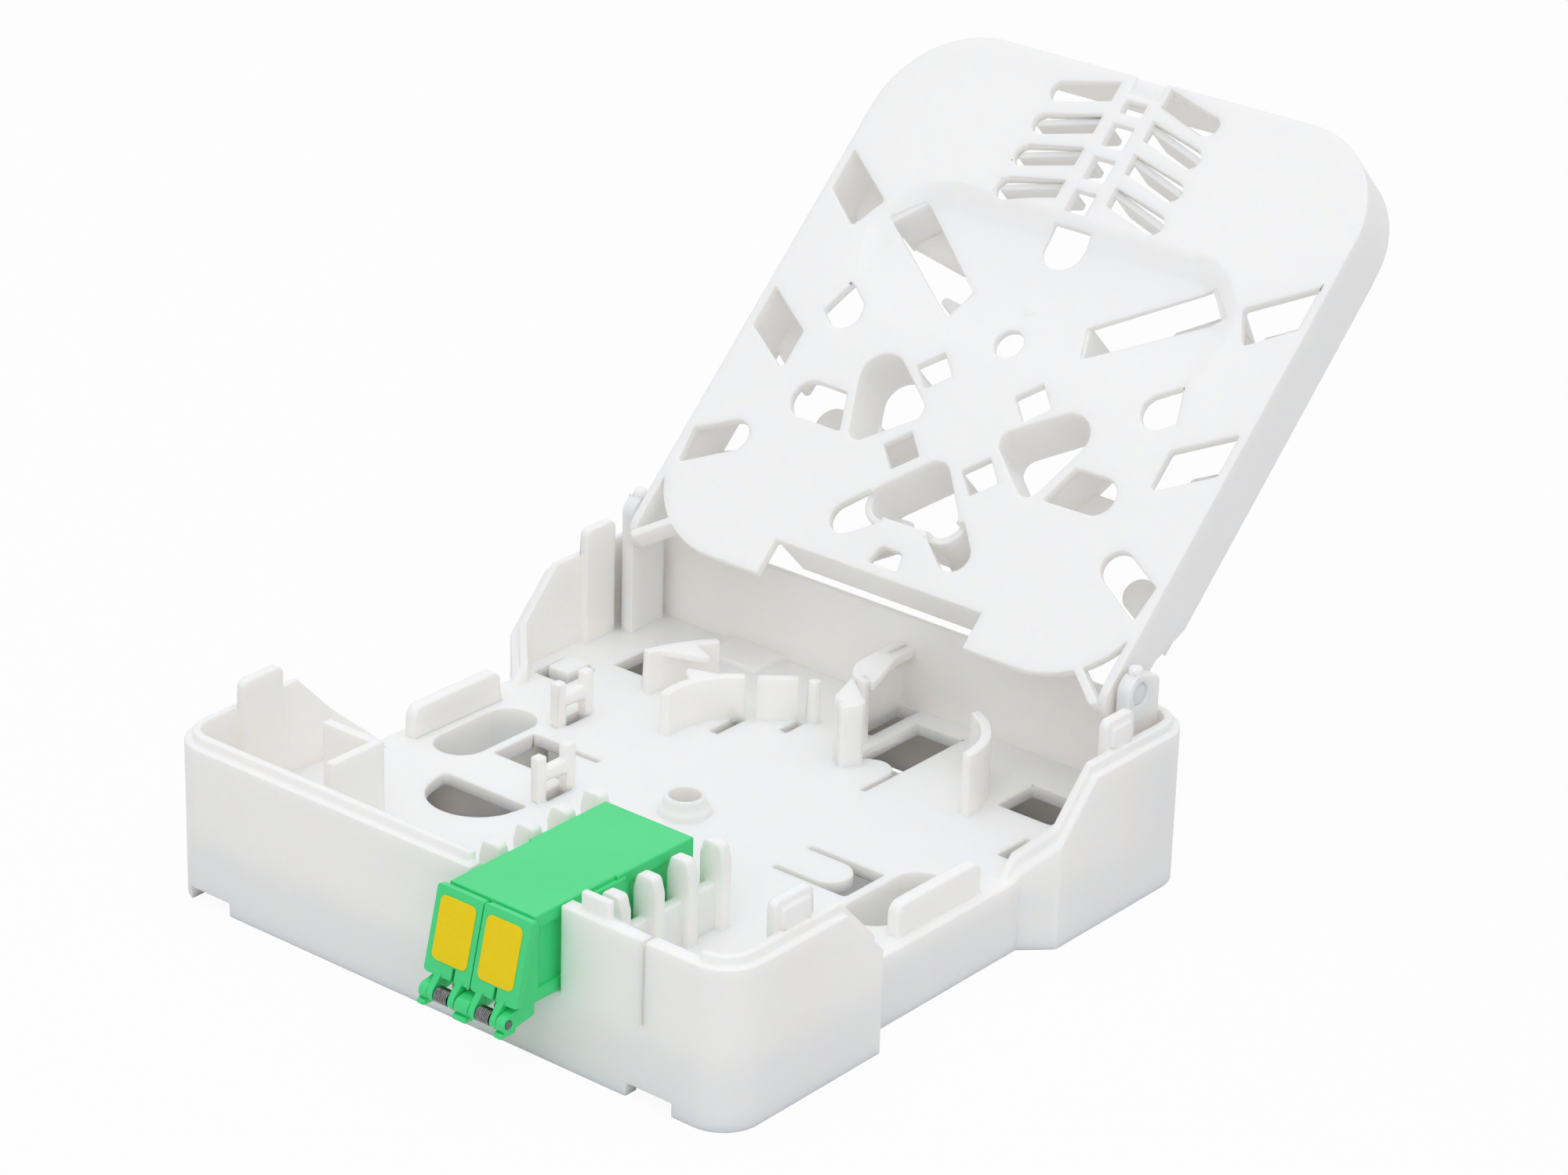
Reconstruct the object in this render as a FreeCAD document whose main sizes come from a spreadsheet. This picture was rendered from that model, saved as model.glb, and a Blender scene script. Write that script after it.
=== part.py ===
"""Fibre optic wall outlet: an open base box, a hinged splice tray and a shuttered duplex adapter.

Millimetres.  The origin is the middle of the wall face, +Z points away from the wall, -Y is the
side of the adapter and +X is to the right as seen from there.  The tray stands open.
"""
import FreeCAD
import Part
import math
import os
from types import SimpleNamespace

import Sketcher
from FreeCAD import Placement, Rotation, Vector

SIZES = [
    ("base_width", 86.0, "base box, across X"),
    ("base_depth", 85.0, "base box, along Y"),
    ("corner_radius", 5.0, "upright corners of the base box"),
    ("wall", 2.0, "thickness of the base walls"),
    ("wall_top", 20.1, "height of the outer shoulder of the walls"),
    ("lip_top", 21.2, "height of the lip inside the shoulder"),
    ("lip_step", 1.0, "width of the outer shoulder"),
    ("floor_top", 9.3, "height of the floor of the box"),
    ("floor_thick", 1.8, "thickness of that floor"),
    ("recess_depth", 3.35, "finger recess in each side, depth"),
    ("recess_half", 13.0, "finger recess, half its flat length"),
    ("slope_foot", 11.3, "half length of the side that is down at floor level"),
    ("slope_run", 12.5, "run of the slope from floor level to above the lip"),
    ("slope_rise", 12.9, "rise over that run"),
    ("slope_shift", 1.1, "shoulder's slope, distance behind the lip's slope"),
    ("boss_foot", 3.2, "middle boss, radius at the floor"),
    ("boss_radius", 2.5, "middle boss, radius at the top"),
    ("boss_bore", 1.95, "middle boss, bore radius"),
    ("boss_top", 11.7, "middle boss, height"),
    ("screw_spacing", 64.0, "wall screw slots, centre to centre"),
    ("slot_radius", 3.4, "screw slot, half width of the sunk pocket"),
    ("slot_straight", 8.5, "screw slot, straight length"),
    ("slot_skin", 1.8, "screw slot, thickness under the screw head"),
    ("screw_radius", 2.1, "screw slot, half width of the through slot"),
    ("tube_wall", 1.4, "wall round the sunk pockets behind the floor"),
    ("tab_inner", 39.7, "cover tabs, inner face from the middle"),
    ("tab_thick", 1.3, "cover tabs, thickness"),
    ("tab_top", 24.8, "cover tabs, height"),
    ("catch_proud", 0.5, "catch on the outer face of each cover tab"),
    ("ear_inner", 37.6, "hinge ears, inner face from the middle"),
    ("ear_thick", 1.9, "hinge ears, thickness"),
    ("hinge_y", 35.7, "tray hinge axis"),
    ("hinge_z", 24.95, "tray hinge axis"),
    ("hinge_hole", 1.45, "radius of the holes in the ears"),
    ("hinge_pin", 1.4, "radius of the tray's own pins"),
    ("tooth_pitch", 5.67, "combs beside the adapter, pitch"),
    ("tooth_thick", 1.6, "combs, thickness of one tooth"),
    ("tooth_width", 3.5, "combs, width of one tooth"),
    ("tooth_top", 20.0, "combs, height"),
    ("web_top", 15.0, "combs, height of the web between the teeth"),
    ("rib_thick", 1.3, "thin upright ribs and fibre guides"),
    ("guide_low", 15.0, "height of the left fibre guides"),
    ("guide_high", 17.5, "height of the right fibre guides"),
    ("rest_top", 20.0, "height of the angled tray rests"),
    ("ledge_rise", 0.7, "flat ledge by the back wall, height above the floor"),
    ("tray_width", 74.26, "splice tray, across X"),
    ("tray_reach", 72.3, "splice tray, far edge"),
    ("tray_tail", 5.6, "splice tray, near edge"),
    ("tray_corner", 13.5, "splice tray, far corner radius"),
    ("tray_heel", 13.0, "splice tray, near corner radius"),
    ("tray_plate", 1.4, "splice tray, thickness"),
    ("tray_dish", 0.6, "bulge of the shallow dish behind the tray"),
    ("dish_depth", 1.0, "depth of the same dish in the tray's face"),
    ("rim_height", 8.2, "splice tray, height of the rim"),
    ("rim_thick", 1.2, "splice tray, thickness of the rim"),
    ("lip_thick", 1.0, "fibre retaining lips at the rim's edge"),
    ("loop_wall", 0.9, "walls of the fibre bobbins"),
    ("tray_angle", 43.514, "tray's lean from the floor, degrees"),
    ("tray_y", 35.577, "tray datum"),
    ("tray_z", 28.818, "tray datum"),
    ("tray_pin_v", -2.574, "tray pins in the tray's own plane"),
    ("tray_pin_w", -2.890, "tray pins below the tray's face"),
    ("splice_x", -0.9, "middle line of the splice holder"),
    ("splice_pitch", 4.9, "pitch of the splice slots"),
    ("adapter_x", 11.75, "middle of the adapter"),
    ("adapter_width", 12.7, "adapter, front half across X"),
    ("rear_width", 13.2, "adapter, rear half across X"),
    ("flange_proud", 0.45, "bands at the joint, height above the front half's sides"),
    ("panel_depth", 0.45, "sunk panels in the sides of the adapter"),
    ("adapter_top", 20.0, "adapter, top face"),
    ("adapter_split", 32.9, "joint between the adapter halves, in front of the middle"),
    ("adapter_rear", 20.0, "rear end of the adapter, in front of the middle"),
    ("adapter_nose", 46.05, "top front edge of the adapter"),
    ("adapter_toe", 48.4, "bottom front edge of the adapter"),
    ("port_pitch", 6.25, "distance between the two ports"),
    ("port_width", 4.8, "port for the plug body"),
    ("port_floor", 11.2, "bottom of the ports"),
    ("latch_width", 3.4, "slot for the plug's latch"),
    ("latch_top", 18.8, "top of that slot"),
    ("port_depth", 3.3, "wall left between the ports and the joint"),
    ("ferrule_z", 13.6, "axis of the ferrules"),
    ("sleeve_outer", 0.82, "alignment sleeve, outer radius"),
    ("sleeve_inner", 0.625, "alignment sleeve, inner radius"),
    ("sleeve_length", 7.2, "alignment sleeve, length"),
    ("sleeve_bore", 0.9, "seat of the sleeve, radius"),
    ("pivot_y", -50.2, "shutter pin axis"),
    ("pivot_z", 8.3, "shutter pin axis"),
    ("pivot_pin", 0.5, "shutter pin, radius"),
    ("pivot_hole", 0.56, "holes of the shutter knuckles, radius"),
    ("lug_radius", 1.05, "lugs that carry the shutter pin, radius"),
    ("lug_width", 1.2, "outer lugs, width; the middle one serves both shutters"),
    ("lug_foot", 51.5, "front end of the lugs' feet, in front of the middle"),
    ("shutter_lean", -13.9, "shutter's lean, degrees"),
    ("shutter_inner", 3.05, "one shutter, from its port's middle to the other shutter"),
    ("shutter_outer", 3.8, "one shutter, from its port's middle to the outside"),
    ("shutter_thick", 1.1, "one shutter, thickness"),
    ("shutter_foot", 1.9, "lower edge above the pin"),
    ("shutter_head", 12.1, "upper edge above the pin"),
    ("leg_slot", 0.4, "slot for the spring's leg, width"),
    ("label_width", 5.25, "label film, width"),
    ("label_low", 3.6, "label film, lower edge above the pin"),
    ("label_high", 11.1, "label film, upper edge above the pin"),
    ("label_shift", 0.3, "label film, middle outwards of the port's middle"),
    ("label_thick", 0.12, "thickness of the label film"),
    ("spring_radius", 0.86, "shutter spring, mean radius"),
    ("spring_wire", 0.16, "shutter spring, wire radius"),
    ("spring_length", 2.2, "shutter spring, coil length"),
    ("spring_pitch", 0.44, "shutter spring, pitch"),
]


class Dim:
    """A length: its value now and the expression that keeps it tied to the sheet."""

    def __init__(self, value, text=None):
        self.value = float(value)
        self.live = text is not None
        self.text = text if self.live else repr(self.value)

    def joined(self, sign, other, value):
        text = "(%s %s %s)" % (self.text, sign, other.text)
        return Dim(value, text if self.live or other.live else None)

    def __add__(self, other):
        other = as_dim(other)
        return self.joined("+", other, self.value + other.value)

    def __sub__(self, other):
        other = as_dim(other)
        return self.joined("-", other, self.value - other.value)

    def __mul__(self, other):
        other = as_dim(other)
        return self.joined("*", other, self.value * other.value)

    def __truediv__(self, other):
        other = as_dim(other)
        return self.joined("/", other, self.value / other.value)

    def __neg__(self):
        return as_dim(0.0) - self

    def __radd__(self, other):
        return as_dim(other) + self

    def __rsub__(self, other):
        return as_dim(other) - self

    def __rmul__(self, other):
        return as_dim(other) * self


def as_dim(item):
    return item if isinstance(item, Dim) else Dim(item)


def make_sheet(document):
    """Write the sizes into a spreadsheet and return them as live lengths."""
    sheet = document.addObject("Spreadsheet::Sheet", "Dims")
    sizes = {}
    for row, (alias, value, meaning) in enumerate(SIZES, start=1):
        sheet.set("A%d" % row, meaning)
        sheet.set("B%d" % row, str(value))
        sheet.setAlias("B%d" % row, alias)
        sizes[alias] = Dim(value, "Dims." + alias)
    document.recompute()
    return SimpleNamespace(**sizes)


DOC = FreeCAD.newDocument("FibreOutlet")
d = make_sheet(DOC)


def bind(item, path, size):
    """Give a property its size and tie it to the sheet."""
    size = as_dim(size)
    if "." not in path:
        setattr(item, path, size.value)
    if size.live:
        item.setExpression(path, size.text)


def origin_part(body, role):
    return next(part for part in body.Origin.OriginFeatures if part.Role == role)


def new_body(label):
    body = DOC.addObject("PartDesign::Body", label)
    body.Label = label
    return body


def joined_piece(label, bodies):
    """One moulded piece from several bodies."""
    piece = DOC.addObject("Part::MultiFuse", label)
    piece.Label = label
    piece.Shapes = bodies
    piece.Refine = True
    return piece


def tangent_points(first, second):
    """Ends of the line that touches two corner circles on the right-hand side."""
    (x0, y0, r0), (x1, y1, r1) = first, second
    dx, dy = x1 - x0, y1 - y0
    span = math.hypot(dx, dy)
    lean = (r0 - r1) / span
    side = math.sqrt(1.0 - lean * lean)
    nx, ny = (dx * lean + dy * side) / span, (dy * lean - dx * side) / span
    return Vector(x0 + r0 * nx, y0 + r0 * ny, 0), Vector(x1 + r1 * nx, y1 + r1 * ny, 0)


def place_point(rules, sizes, geometry, point, x, y):
    """Tie one point of a sketch to its two distances from the sketch's origin."""
    for kind, axis, size in (("DistanceX", -2, x), ("DistanceY", -1, y)):
        if not size.live and abs(size.value) < 1e-9:
            rules.append(Sketcher.Constraint("PointOnObject", geometry, point, axis))
            sizes.append(None)
        elif size.value < 0:
            rules.append(Sketcher.Constraint(kind, geometry, point, -1, 1, -size.value))
            sizes.append(-size)
        else:
            rules.append(Sketcher.Constraint(kind, -1, 1, geometry, point, size.value))
            sizes.append(size)


def add_circle(sketch, rules, sizes, x, y, radius):
    circle = Part.Circle(Vector(x.value, y.value, 0), Vector(0, 0, 1), radius.value)
    index = sketch.addGeometry(circle)
    place_point(rules, sizes, index, 3, x, y)
    rules.append(Sketcher.Constraint("Radius", index, radius.value))
    sizes.append(radius)


def add_belt(sketch, rules, sizes, corners):
    """Loop of lines and arcs laid anticlockwise round corner circles (x, y, radius)."""
    plain = [tuple(size.value for size in corner) for corner in corners]
    count = len(plain)
    touch = [tangent_points(plain[i], plain[(i + 1) % count]) for i in range(count)]
    lines = [sketch.addGeometry(Part.LineSegment(*ends)) for ends in touch]
    for i, (x, y, radius) in enumerate(corners):
        if radius.value == 0:
            rules.append(Sketcher.Constraint("Coincident", lines[i - 1], 2, lines[i], 1))
            sizes.append(None)
            place_point(rules, sizes, lines[i], 1, x, y)
            continue
        centre = Vector(x.value, y.value, 0)
        start, end = touch[i - 1][1] - centre, touch[i][0] - centre
        circle = Part.Circle(centre, Vector(0, 0, 1), radius.value)
        arc = Part.ArcOfCircle(circle, math.atan2(start.y, start.x), math.atan2(end.y, end.x))
        index = sketch.addGeometry(arc)
        rules.append(Sketcher.Constraint("Tangent", lines[i - 1], 2, index, 1))
        rules.append(Sketcher.Constraint("Tangent", index, 2, lines[i], 1))
        sizes.extend((None, None))
        place_point(rules, sizes, index, 3, x, y)
        rules.append(Sketcher.Constraint("Radius", index, radius.value))
        sizes.append(radius)


def add_arc_wall(sketch, rules, sizes, wall):
    """Curved wall of one thickness round a centre, between two angles in degrees."""
    x, y, inner, outer = (as_dim(size) for size in (wall.x, wall.y, wall.inner, wall.outer))
    centre = Vector(x.value, y.value, 0)
    angles = [math.radians(angle) for angle in (wall.start, wall.end)]
    arcs = []
    for radius in (inner, outer):
        circle = Part.Circle(centre, Vector(0, 0, 1), radius.value)
        index = sketch.addGeometry(Part.ArcOfCircle(circle, *angles))
        place_point(rules, sizes, index, 3, x, y)
        rules.append(Sketcher.Constraint("Radius", index, radius.value))
        sizes.append(radius)
        arcs.append((index, radius.value))
    for point, angle in enumerate(angles, start=1):
        ends = [centre + Vector(math.cos(angle), math.sin(angle), 0) * radius for _, radius in arcs]
        line = sketch.addGeometry(Part.LineSegment(*ends))
        for end, (index, _) in enumerate(arcs, start=1):
            rules.append(Sketcher.Constraint("Coincident", line, end, index, point))
            sizes.append(None)
        rules.append(Sketcher.Constraint("Block", line))
        sizes.append(None)


def sketch_on(body, name, plane, lift, loops):
    """Sketch on one of the body's own planes, raised by lift along the plane's normal."""
    sketch = body.newObject("Sketcher::SketchObject", body.Label + "_" + name)
    sketch.AttachmentSupport = (origin_part(body, plane + "_Plane"), [""])
    sketch.MapMode = "FlatFace"
    lift = as_dim(lift)
    sketch.AttachmentOffset = Placement(Vector(0, 0, lift.value), Rotation())
    if lift.live:
        sketch.setExpression("AttachmentOffset.Base.z", lift.text)
    rules, sizes = [], []
    for loop in loops:
        if isinstance(loop, SimpleNamespace):
            add_arc_wall(sketch, rules, sizes, loop)
            continue
        corners = [tuple(as_dim(size) for size in (tuple(corner) + (0.0,))[:3]) for corner in loop]
        if len(corners) == 1:
            add_circle(sketch, rules, sizes, *corners[0])
        else:
            add_belt(sketch, rules, sizes, corners)
    sketch.addConstraint(rules)
    for index, size in enumerate(sizes):
        if size is not None and size.live:
            sketch.setExpression("Constraints[%d]" % index, size.text)
    return sketch


def pad(body, name, plane, lift, loops, length, back=False):
    """Solid raised from a sketch, along the plane's normal or against it."""
    feature = body.newObject("PartDesign::Pad", body.Label + "_" + name)
    feature.Profile = sketch_on(body, name + "_outline", plane, lift, loops)
    feature.Reversed = back
    bind(feature, "Length", length)
    return feature


def pocket(body, name, plane, lift, loops, length, back=False):
    """Cut from a sketch against the plane's normal, or along it when turned back."""
    feature = body.newObject("PartDesign::Pocket", body.Label + "_" + name)
    feature.Profile = sketch_on(body, name + "_outline", plane, lift, loops)
    feature.Reversed = back
    bind(feature, "Length", length)
    return feature


def turned(body, name, section):
    """Solid turned round the body's Z axis from a half section in its XZ plane."""
    feature = body.newObject("PartDesign::Revolution", body.Label + "_" + name)
    sketch = sketch_on(body, name + "_section", "XZ", 0, [section])
    feature.Profile = sketch
    feature.ReferenceAxis = (sketch, ["V_Axis"])
    feature.Angle = 360.0
    return feature


def mirrored(body, name, features):
    """Repeat features on the other side of the body's YZ plane."""
    feature = body.newObject("PartDesign::Mirrored", body.Label + "_" + name)
    feature.Originals = features
    feature.MirrorPlane = (origin_part(body, "YZ_Plane"), [""])
    body.Tip = feature
    return feature


def row_of(body, name, features, axis, pitch, count, back=False):
    """Repeat features along one of the body's axes."""
    feature = body.newObject("PartDesign::LinearPattern", body.Label + "_" + name)
    feature.Originals = features
    feature.Direction = (origin_part(body, axis + "_Axis"), [""])
    feature.Reversed = back
    feature.Occurrences = count
    bind(feature, "Length", pitch * (count - 1))
    body.Tip = feature
    return feature


def box_loop(x0, x1, y0, y1, radius=0.0):
    """Rectangle between four limits with rounded or sharp corners."""
    r = as_dim(radius)
    x0, x1, y0, y1 = (as_dim(size) for size in (x0, x1, y0, y1))
    if r.value == 0:
        return [(x0, y0), (x1, y0), (x1, y1), (x0, y1)]
    return [(x0 + r, y0 + r, r), (x1 - r, y0 + r, r), (x1 - r, y1 - r, r), (x0 + r, y1 - r, r)]


def arc_wall(x, y, middle, thick, start, end):
    """Description of a curved wall by its middle radius."""
    thick = as_dim(thick)
    return SimpleNamespace(x=x, y=y, inner=middle - thick / 2, outer=middle + thick / 2,
                           start=start, end=end)


def base_outline(inset):
    """Outline of the box with its two finger recesses, moved inwards."""
    inset = as_dim(inset)
    x = d.base_width / 2 - inset
    y = d.base_depth / 2 - inset
    r = d.corner_radius - inset
    near = d.recess_half + inset * 0.414
    far = near + d.recess_depth
    waist = x - d.recess_depth
    return [(x - r, -(y - r), r), (x, -far), (waist, -near), (waist, near), (x, far),
            (x - r, y - r, r), (-(x - r), y - r, r), (-x, far), (-waist, near), (-waist, -near),
            (-x, -far), (-(x - r), -(y - r), r)]


def cut_slopes(body, shift):
    """Lower both sides to floor level between two slopes, each moved outwards by shift."""
    foot = d.slope_foot + shift
    wide = foot + d.slope_run
    high = d.floor_top + d.slope_rise
    slope = [(-foot, d.floor_top), (foot, d.floor_top), (wide, high), (-wide, high)]
    pocket(body, "slopes", "YZ", d.base_width / 2 + 1, [slope], d.base_width + 2)


def cut_front(body):
    """Gap for the adapter, slit beside the sprung wall piece, and prising notches."""
    front = -d.base_depth / 2
    back = front + d.wall + 0.5
    top = d.lip_top + 1
    left = d.adapter_x - d.adapter_width / 2 - 0.35
    right = d.adapter_x + d.adapter_width / 2 + 0.45
    pocket(body, "adapter_gap", "XY", top, [box_loop(left, right, front - 1, back)], top - d.floor_top)
    slit = box_loop(30.3, 30.7, front - 1, back)
    pocket(body, "spring_slit", "XY", top, [slit], top - d.floor_top - 0.4)
    notches = [box_loop(x, x + 6.5, front - 1, back) for x in (-39.7, 28.3)]
    pocket(body, "prising_notches", "XY", 0, notches, 1.7, back=True)


def build_shell(body):
    """Inner half of the wall with its lip, and the floor."""
    pad(body, "block", "XY", 0, [base_outline(d.lip_step)], d.lip_top)
    pocket(body, "inside", "XY", d.lip_top, [base_outline(d.wall)], d.lip_top - d.floor_top)
    pocket(body, "underside", "XY", 0, [base_outline(d.wall)], d.floor_top - d.floor_thick, back=True)
    cut_slopes(body, 0)
    front = -d.base_depth / 2
    bare = box_loop(4.25, 37.6, front, front + d.wall + 0.5)
    pocket(body, "bare_shoulder", "XY", d.lip_top + 1, [bare], d.lip_top + 1 - d.wall_top)
    cut_front(body)
    catch = box_loop(20.6, 24.7, front + d.lip_step, front + d.wall, 0.3)
    pad(body, "front_catch", "XY", d.wall_top - 0.5, [catch], 2.7)


def build_skirt(body):
    """Outer half of the wall, which ends in a shoulder below the lip."""
    pad(body, "ring", "XY", 0, [base_outline(0), base_outline(d.lip_step)], d.wall_top)
    cut_slopes(body, d.slope_shift)
    cut_front(body)


def build_screw_points(body):
    """Sunk slots for the wall screws and the bored boss in the middle."""
    half = d.screw_spacing / 2
    reach = d.slot_straight / 2

    def slots(radius):
        return [[(x, -reach, radius), (x, reach, radius)] for x in (-half, half)]

    # The two corner circles of a slot run anticlockwise from its lower end
    pad(body, "slot_tubes", "XY", 0, slots(d.slot_radius + d.tube_wall), d.floor_top)
    pocket(body, "slot_pockets", "XY", d.floor_top, slots(d.slot_radius), d.floor_top - d.slot_skin)
    pocket(body, "screw_slots", "XY", d.floor_top, slots(d.screw_radius), d.floor_top + 1)
    collar = [(0, 0), (d.boss_foot, 0), (d.boss_foot, d.floor_top + 0.7),
              (d.boss_radius + 0.15, d.floor_top + 1.3), (d.boss_radius, d.boss_top), (0, d.boss_top)]
    turned(body, "boss", collar)
    pocket(body, "boss_hole", "XY", d.boss_top, [[(0, 0, d.boss_bore)]], d.boss_top + 1)


def build_floor_openings(body):
    """Cable hole, tie points, sprung tongues and the openings below the guides."""
    cable = [(-21.3, -12.6, 6.4), (-15.3, -12.0, 0.6), (-27.3, -12.0, 0.6)]
    tongues = [box_loop(16.4, 27.3, -3.65, 3.65, 0.4), box_loop(-27.3, -16.4, -3.65, 3.65, 0.4)]
    ties = [box_loop(-15.6, -13.7, -8.7, -4.5), box_loop(-27.5, -25.6, 7.8, 12.0)]
    lifts = [box_loop(33.8, 39.0, 16.5, 22.2, 0.3), box_loop(-39.0, -33.8, 16.5, 22.2, 0.3)]
    backs = [box_loop(-33.1, -26.0, 24.9, 33.0, 0.3), box_loop(26.0, 33.9, 26.7, 33.6, 0.3),
             box_loop(0.4, 3.4, 30.9, 40.2, 0.3), box_loop(5.4, 12.2, 18.7, 37.6, 0.3)]
    feet = [box_loop(-12.2, -10.7, 18.7, 24.0), box_loop(-6.0, -4.9, 24.6, 28.0)]
    depth = d.floor_thick + 0.4
    lift = d.floor_top + 0.2
    pocket(body, "cable_hole", "XY", lift, [cable], depth)
    pocket(body, "tongue_holes", "XY", lift, tongues, depth)
    pocket(body, "tie_holes", "XY", lift, ties + feet, depth)
    pocket(body, "tab_holes", "XY", lift, lifts, depth)
    pocket(body, "guide_holes", "XY", lift, backs, depth)
    under = d.floor_top - d.floor_thick
    sprung = [[(16.2, -2.75), (22.1, 0, 2.75), (16.2, 2.75)],
              [(-16.2, 2.75), (-22.1, 0, 2.75), (-16.2, -2.75)],
              [(11.4, 18.5), (8.9, 24.1, 2.5), (6.4, 22.6), (5.2, 22.0), (5.2, 18.5)]]
    pad(body, "tongues", "XY", under, sprung, d.floor_thick)
    shelf = box_loop(-38.2, -34.8, 18.0, 22.3, 0.4)
    pad(body, "tab_step", "XY", under, [shelf], d.floor_thick + 0.6)


def build_combs(body):
    """Two rows of teeth that hold the adapter between them."""
    left = d.adapter_x - d.rear_width / 2 - 0.8
    right = d.adapter_x + d.rear_width / 2 + 0.5
    teeth, webs = [], []
    for x0 in (left - d.tooth_width, right):
        x1 = x0 + d.tooth_width
        teeth.append([(x0, d.floor_top - 0.5), (x1, d.floor_top - 0.5), (x1, d.tooth_top - 2.0),
                      (x1 - 1.1, d.tooth_top - 0.7, 0.7), (x0 + 1.1, d.tooth_top - 0.7, 0.7),
                      (x0, d.tooth_top - 2.0)])
        webs.append(box_loop(x0 + 1.0, x1 - 1.0, -36.0, -18.6))
    first = pad(body, "tooth", "XZ", 35.0, teeth, d.tooth_thick)
    row_of(body, "teeth", [first], "Y", d.tooth_pitch, 4)
    pad(body, "comb_webs", "XY", d.floor_top - 0.5, webs, d.web_top - d.floor_top + 0.5)


def build_hinge_and_tabs(body):
    """Cover tabs with their catches, and the ears that carry the tray."""
    low = d.floor_top - 0.5
    tabs = []
    catches = []
    for y0, y1 in ((-33.0, -26.5), (27.0, 32.4)):
        tabs.append([(y0, low), (y1, low), (y1 - 1.0, d.tab_top - 1.0, 1.0),
                     (y0 + 1.0, d.tab_top - 1.0, 1.0)])
        catches.append(box_loop(y0 + 0.9, y1 - 0.9, d.lip_top, d.tab_top - 1.0, 0.4))
    tab = pad(body, "tabs", "YZ", d.tab_inner, tabs, d.tab_thick)
    catch = pad(body, "catches", "YZ", d.tab_inner + d.tab_thick, catches, d.catch_proud)
    ear_loop = [(33.2, low), (39.4, low), (38.1, 25.4, 1.3), (35.2, 25.4, 2.0)]
    ear = pad(body, "ears", "YZ", d.ear_inner, [ear_loop], d.ear_thick)
    knob = pad(body, "ear_knobs", "XY", 24.0, [[(d.ear_inner + 0.95, 35.6, 0.85)]], 4.3)
    mirrored(body, "other_side", [tab, catch, ear, knob])
    pivot = [[(d.hinge_y, d.hinge_z, d.hinge_hole)]]
    pocket(body, "hinge_holes", "YZ", d.base_width / 2, pivot, d.base_width)


def build_ribs(body):
    """Upright ribs: beside the recesses, the angled tray rest and the tie brackets."""
    low = d.floor_top - 0.5
    plate = [(-7.6, low), (7.6, low), (6.1, 11.9, 1.5), (-6.1, 11.9, 1.5)]
    side = pad(body, "side_ribs", "YZ", 36.5, [plate], 1.7)
    mirrored(body, "side_rib_pair", [side])
    rest = d.rest_top - low
    corner = [box_loop(-32.8, -23.9, -27.2, -27.2 + d.rib_thick)]
    pad(body, "rest_across", "XY", low, corner, rest)
    pad(body, "rest_along", "XY", low, [box_loop(-23.9 - d.rib_thick, -23.9, -34.4, -26.5)], rest)
    posts, bars = [], []
    for x0, y0 in ((-15.4, -10.2), (-27.3, 6.4)):
        posts.append(box_loop(x0, x0 + 1.4, y0, y0 + 1.5))
        posts.append(box_loop(x0, x0 + 1.4, y0 + 5.0, y0 + 6.5))
        bars.append(box_loop(x0, x0 + 1.4, y0 + 1.0, y0 + 5.5))
    pad(body, "back_ledge", "XY", low, [box_loop(-26.5, -18.2, 34.4, 41.0, 0.5)], d.ledge_rise + 0.5)
    pad(body, "tie_posts", "XY", low, posts, 6.3)
    pad(body, "tie_bars", "XY", d.floor_top + 2.4, bars, 1.6)


def build_guides(body):
    """Curved fibre guides with the flat lips that keep the fibre down."""
    low = d.floor_top - 0.5
    short = d.guide_low - low
    tall = d.guide_high - low
    thick = d.rib_thick
    turns = [arc_wall(-5.6, 16.2, 20.0, thick, 137.0, 165.0),
             arc_wall(-5.6, 16.2, 10.0, thick, 125.0, 194.0)]
    pad(body, "left_guides", "XY", low, turns, short)
    lips = [[(-23.9, 22.9), (-18.2, 25.3, 0.3), (-22.3, 27.6)],
            [(-15.1, 18.4), (-13.2, 22.9), (-17.6, 21.0, 0.3)]]
    pad(body, "left_lips", "XY", d.guide_low - 1.0, lips, 1.0)
    plate = [[(-9.6, 24.5), (-5.8, 27.9), (-6.6, 28.9), (-10.4, 25.5)],
             box_loop(-4.9, -3.6, 28.4, 29.7)]
    pad(body, "plate_and_pillar", "XY", low, plate, short)
    hook = [arc_wall(14.8, 22.0, 10.1, thick, -3.0, 68.0)]
    pad(body, "right_guide", "XY", low, hook, tall)
    jay = [arc_wall(5.6, 34.0, 5.6, thick, 180.0, 240.0)]
    pad(body, "back_guide", "XY", low, jay, tall)
    stem = [box_loop(-0.65, 0.65, 34.0, 41.0)]
    pad(body, "back_guide_stem", "XY", low, stem, tall)
    posts = [[(6.2, 21.4), (7.6, 23.8), (6.5, 24.5), (5.1, 22.1)],
             [(4.5, 22.8), (5.4, 24.3), (4.6, 24.8), (3.7, 23.3)],
             box_loop(2.6, 3.9, 28.5, 29.8, 0.4)]
    pad(body, "guide_posts", "XY", low, posts, tall)
    forked = [(0, 33.2), (2.2, 30.2), (4.4, 29.6, 0.2), (2.5, 36.3), (2.3, 40.8), (1.2, 40.8),
              (0.9, 37.2), (0, 37.2)]
    arrow = [(3.6, 23.2), (5.4, 22.4), (7.4, 24.4), (2.2, 28.2, 0.2)]
    pad(body, "right_lips", "XY", d.guide_high - 1.2, [forked, arrow], 1.2)


def build_base():
    """Moulded base box."""
    shell, skirt, combs, hinge, ribs, guides = (
        new_body("base_" + name) for name in ("shell", "skirt", "combs", "hinge", "ribs", "guides"))
    build_shell(shell)
    build_skirt(skirt)
    build_screw_points(shell)
    build_floor_openings(shell)
    build_combs(combs)
    build_hinge_and_tabs(hinge)
    build_ribs(ribs)
    build_guides(guides)
    return joined_piece("base_housing", [shell, skirt, combs, hinge, ribs, guides])


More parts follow.
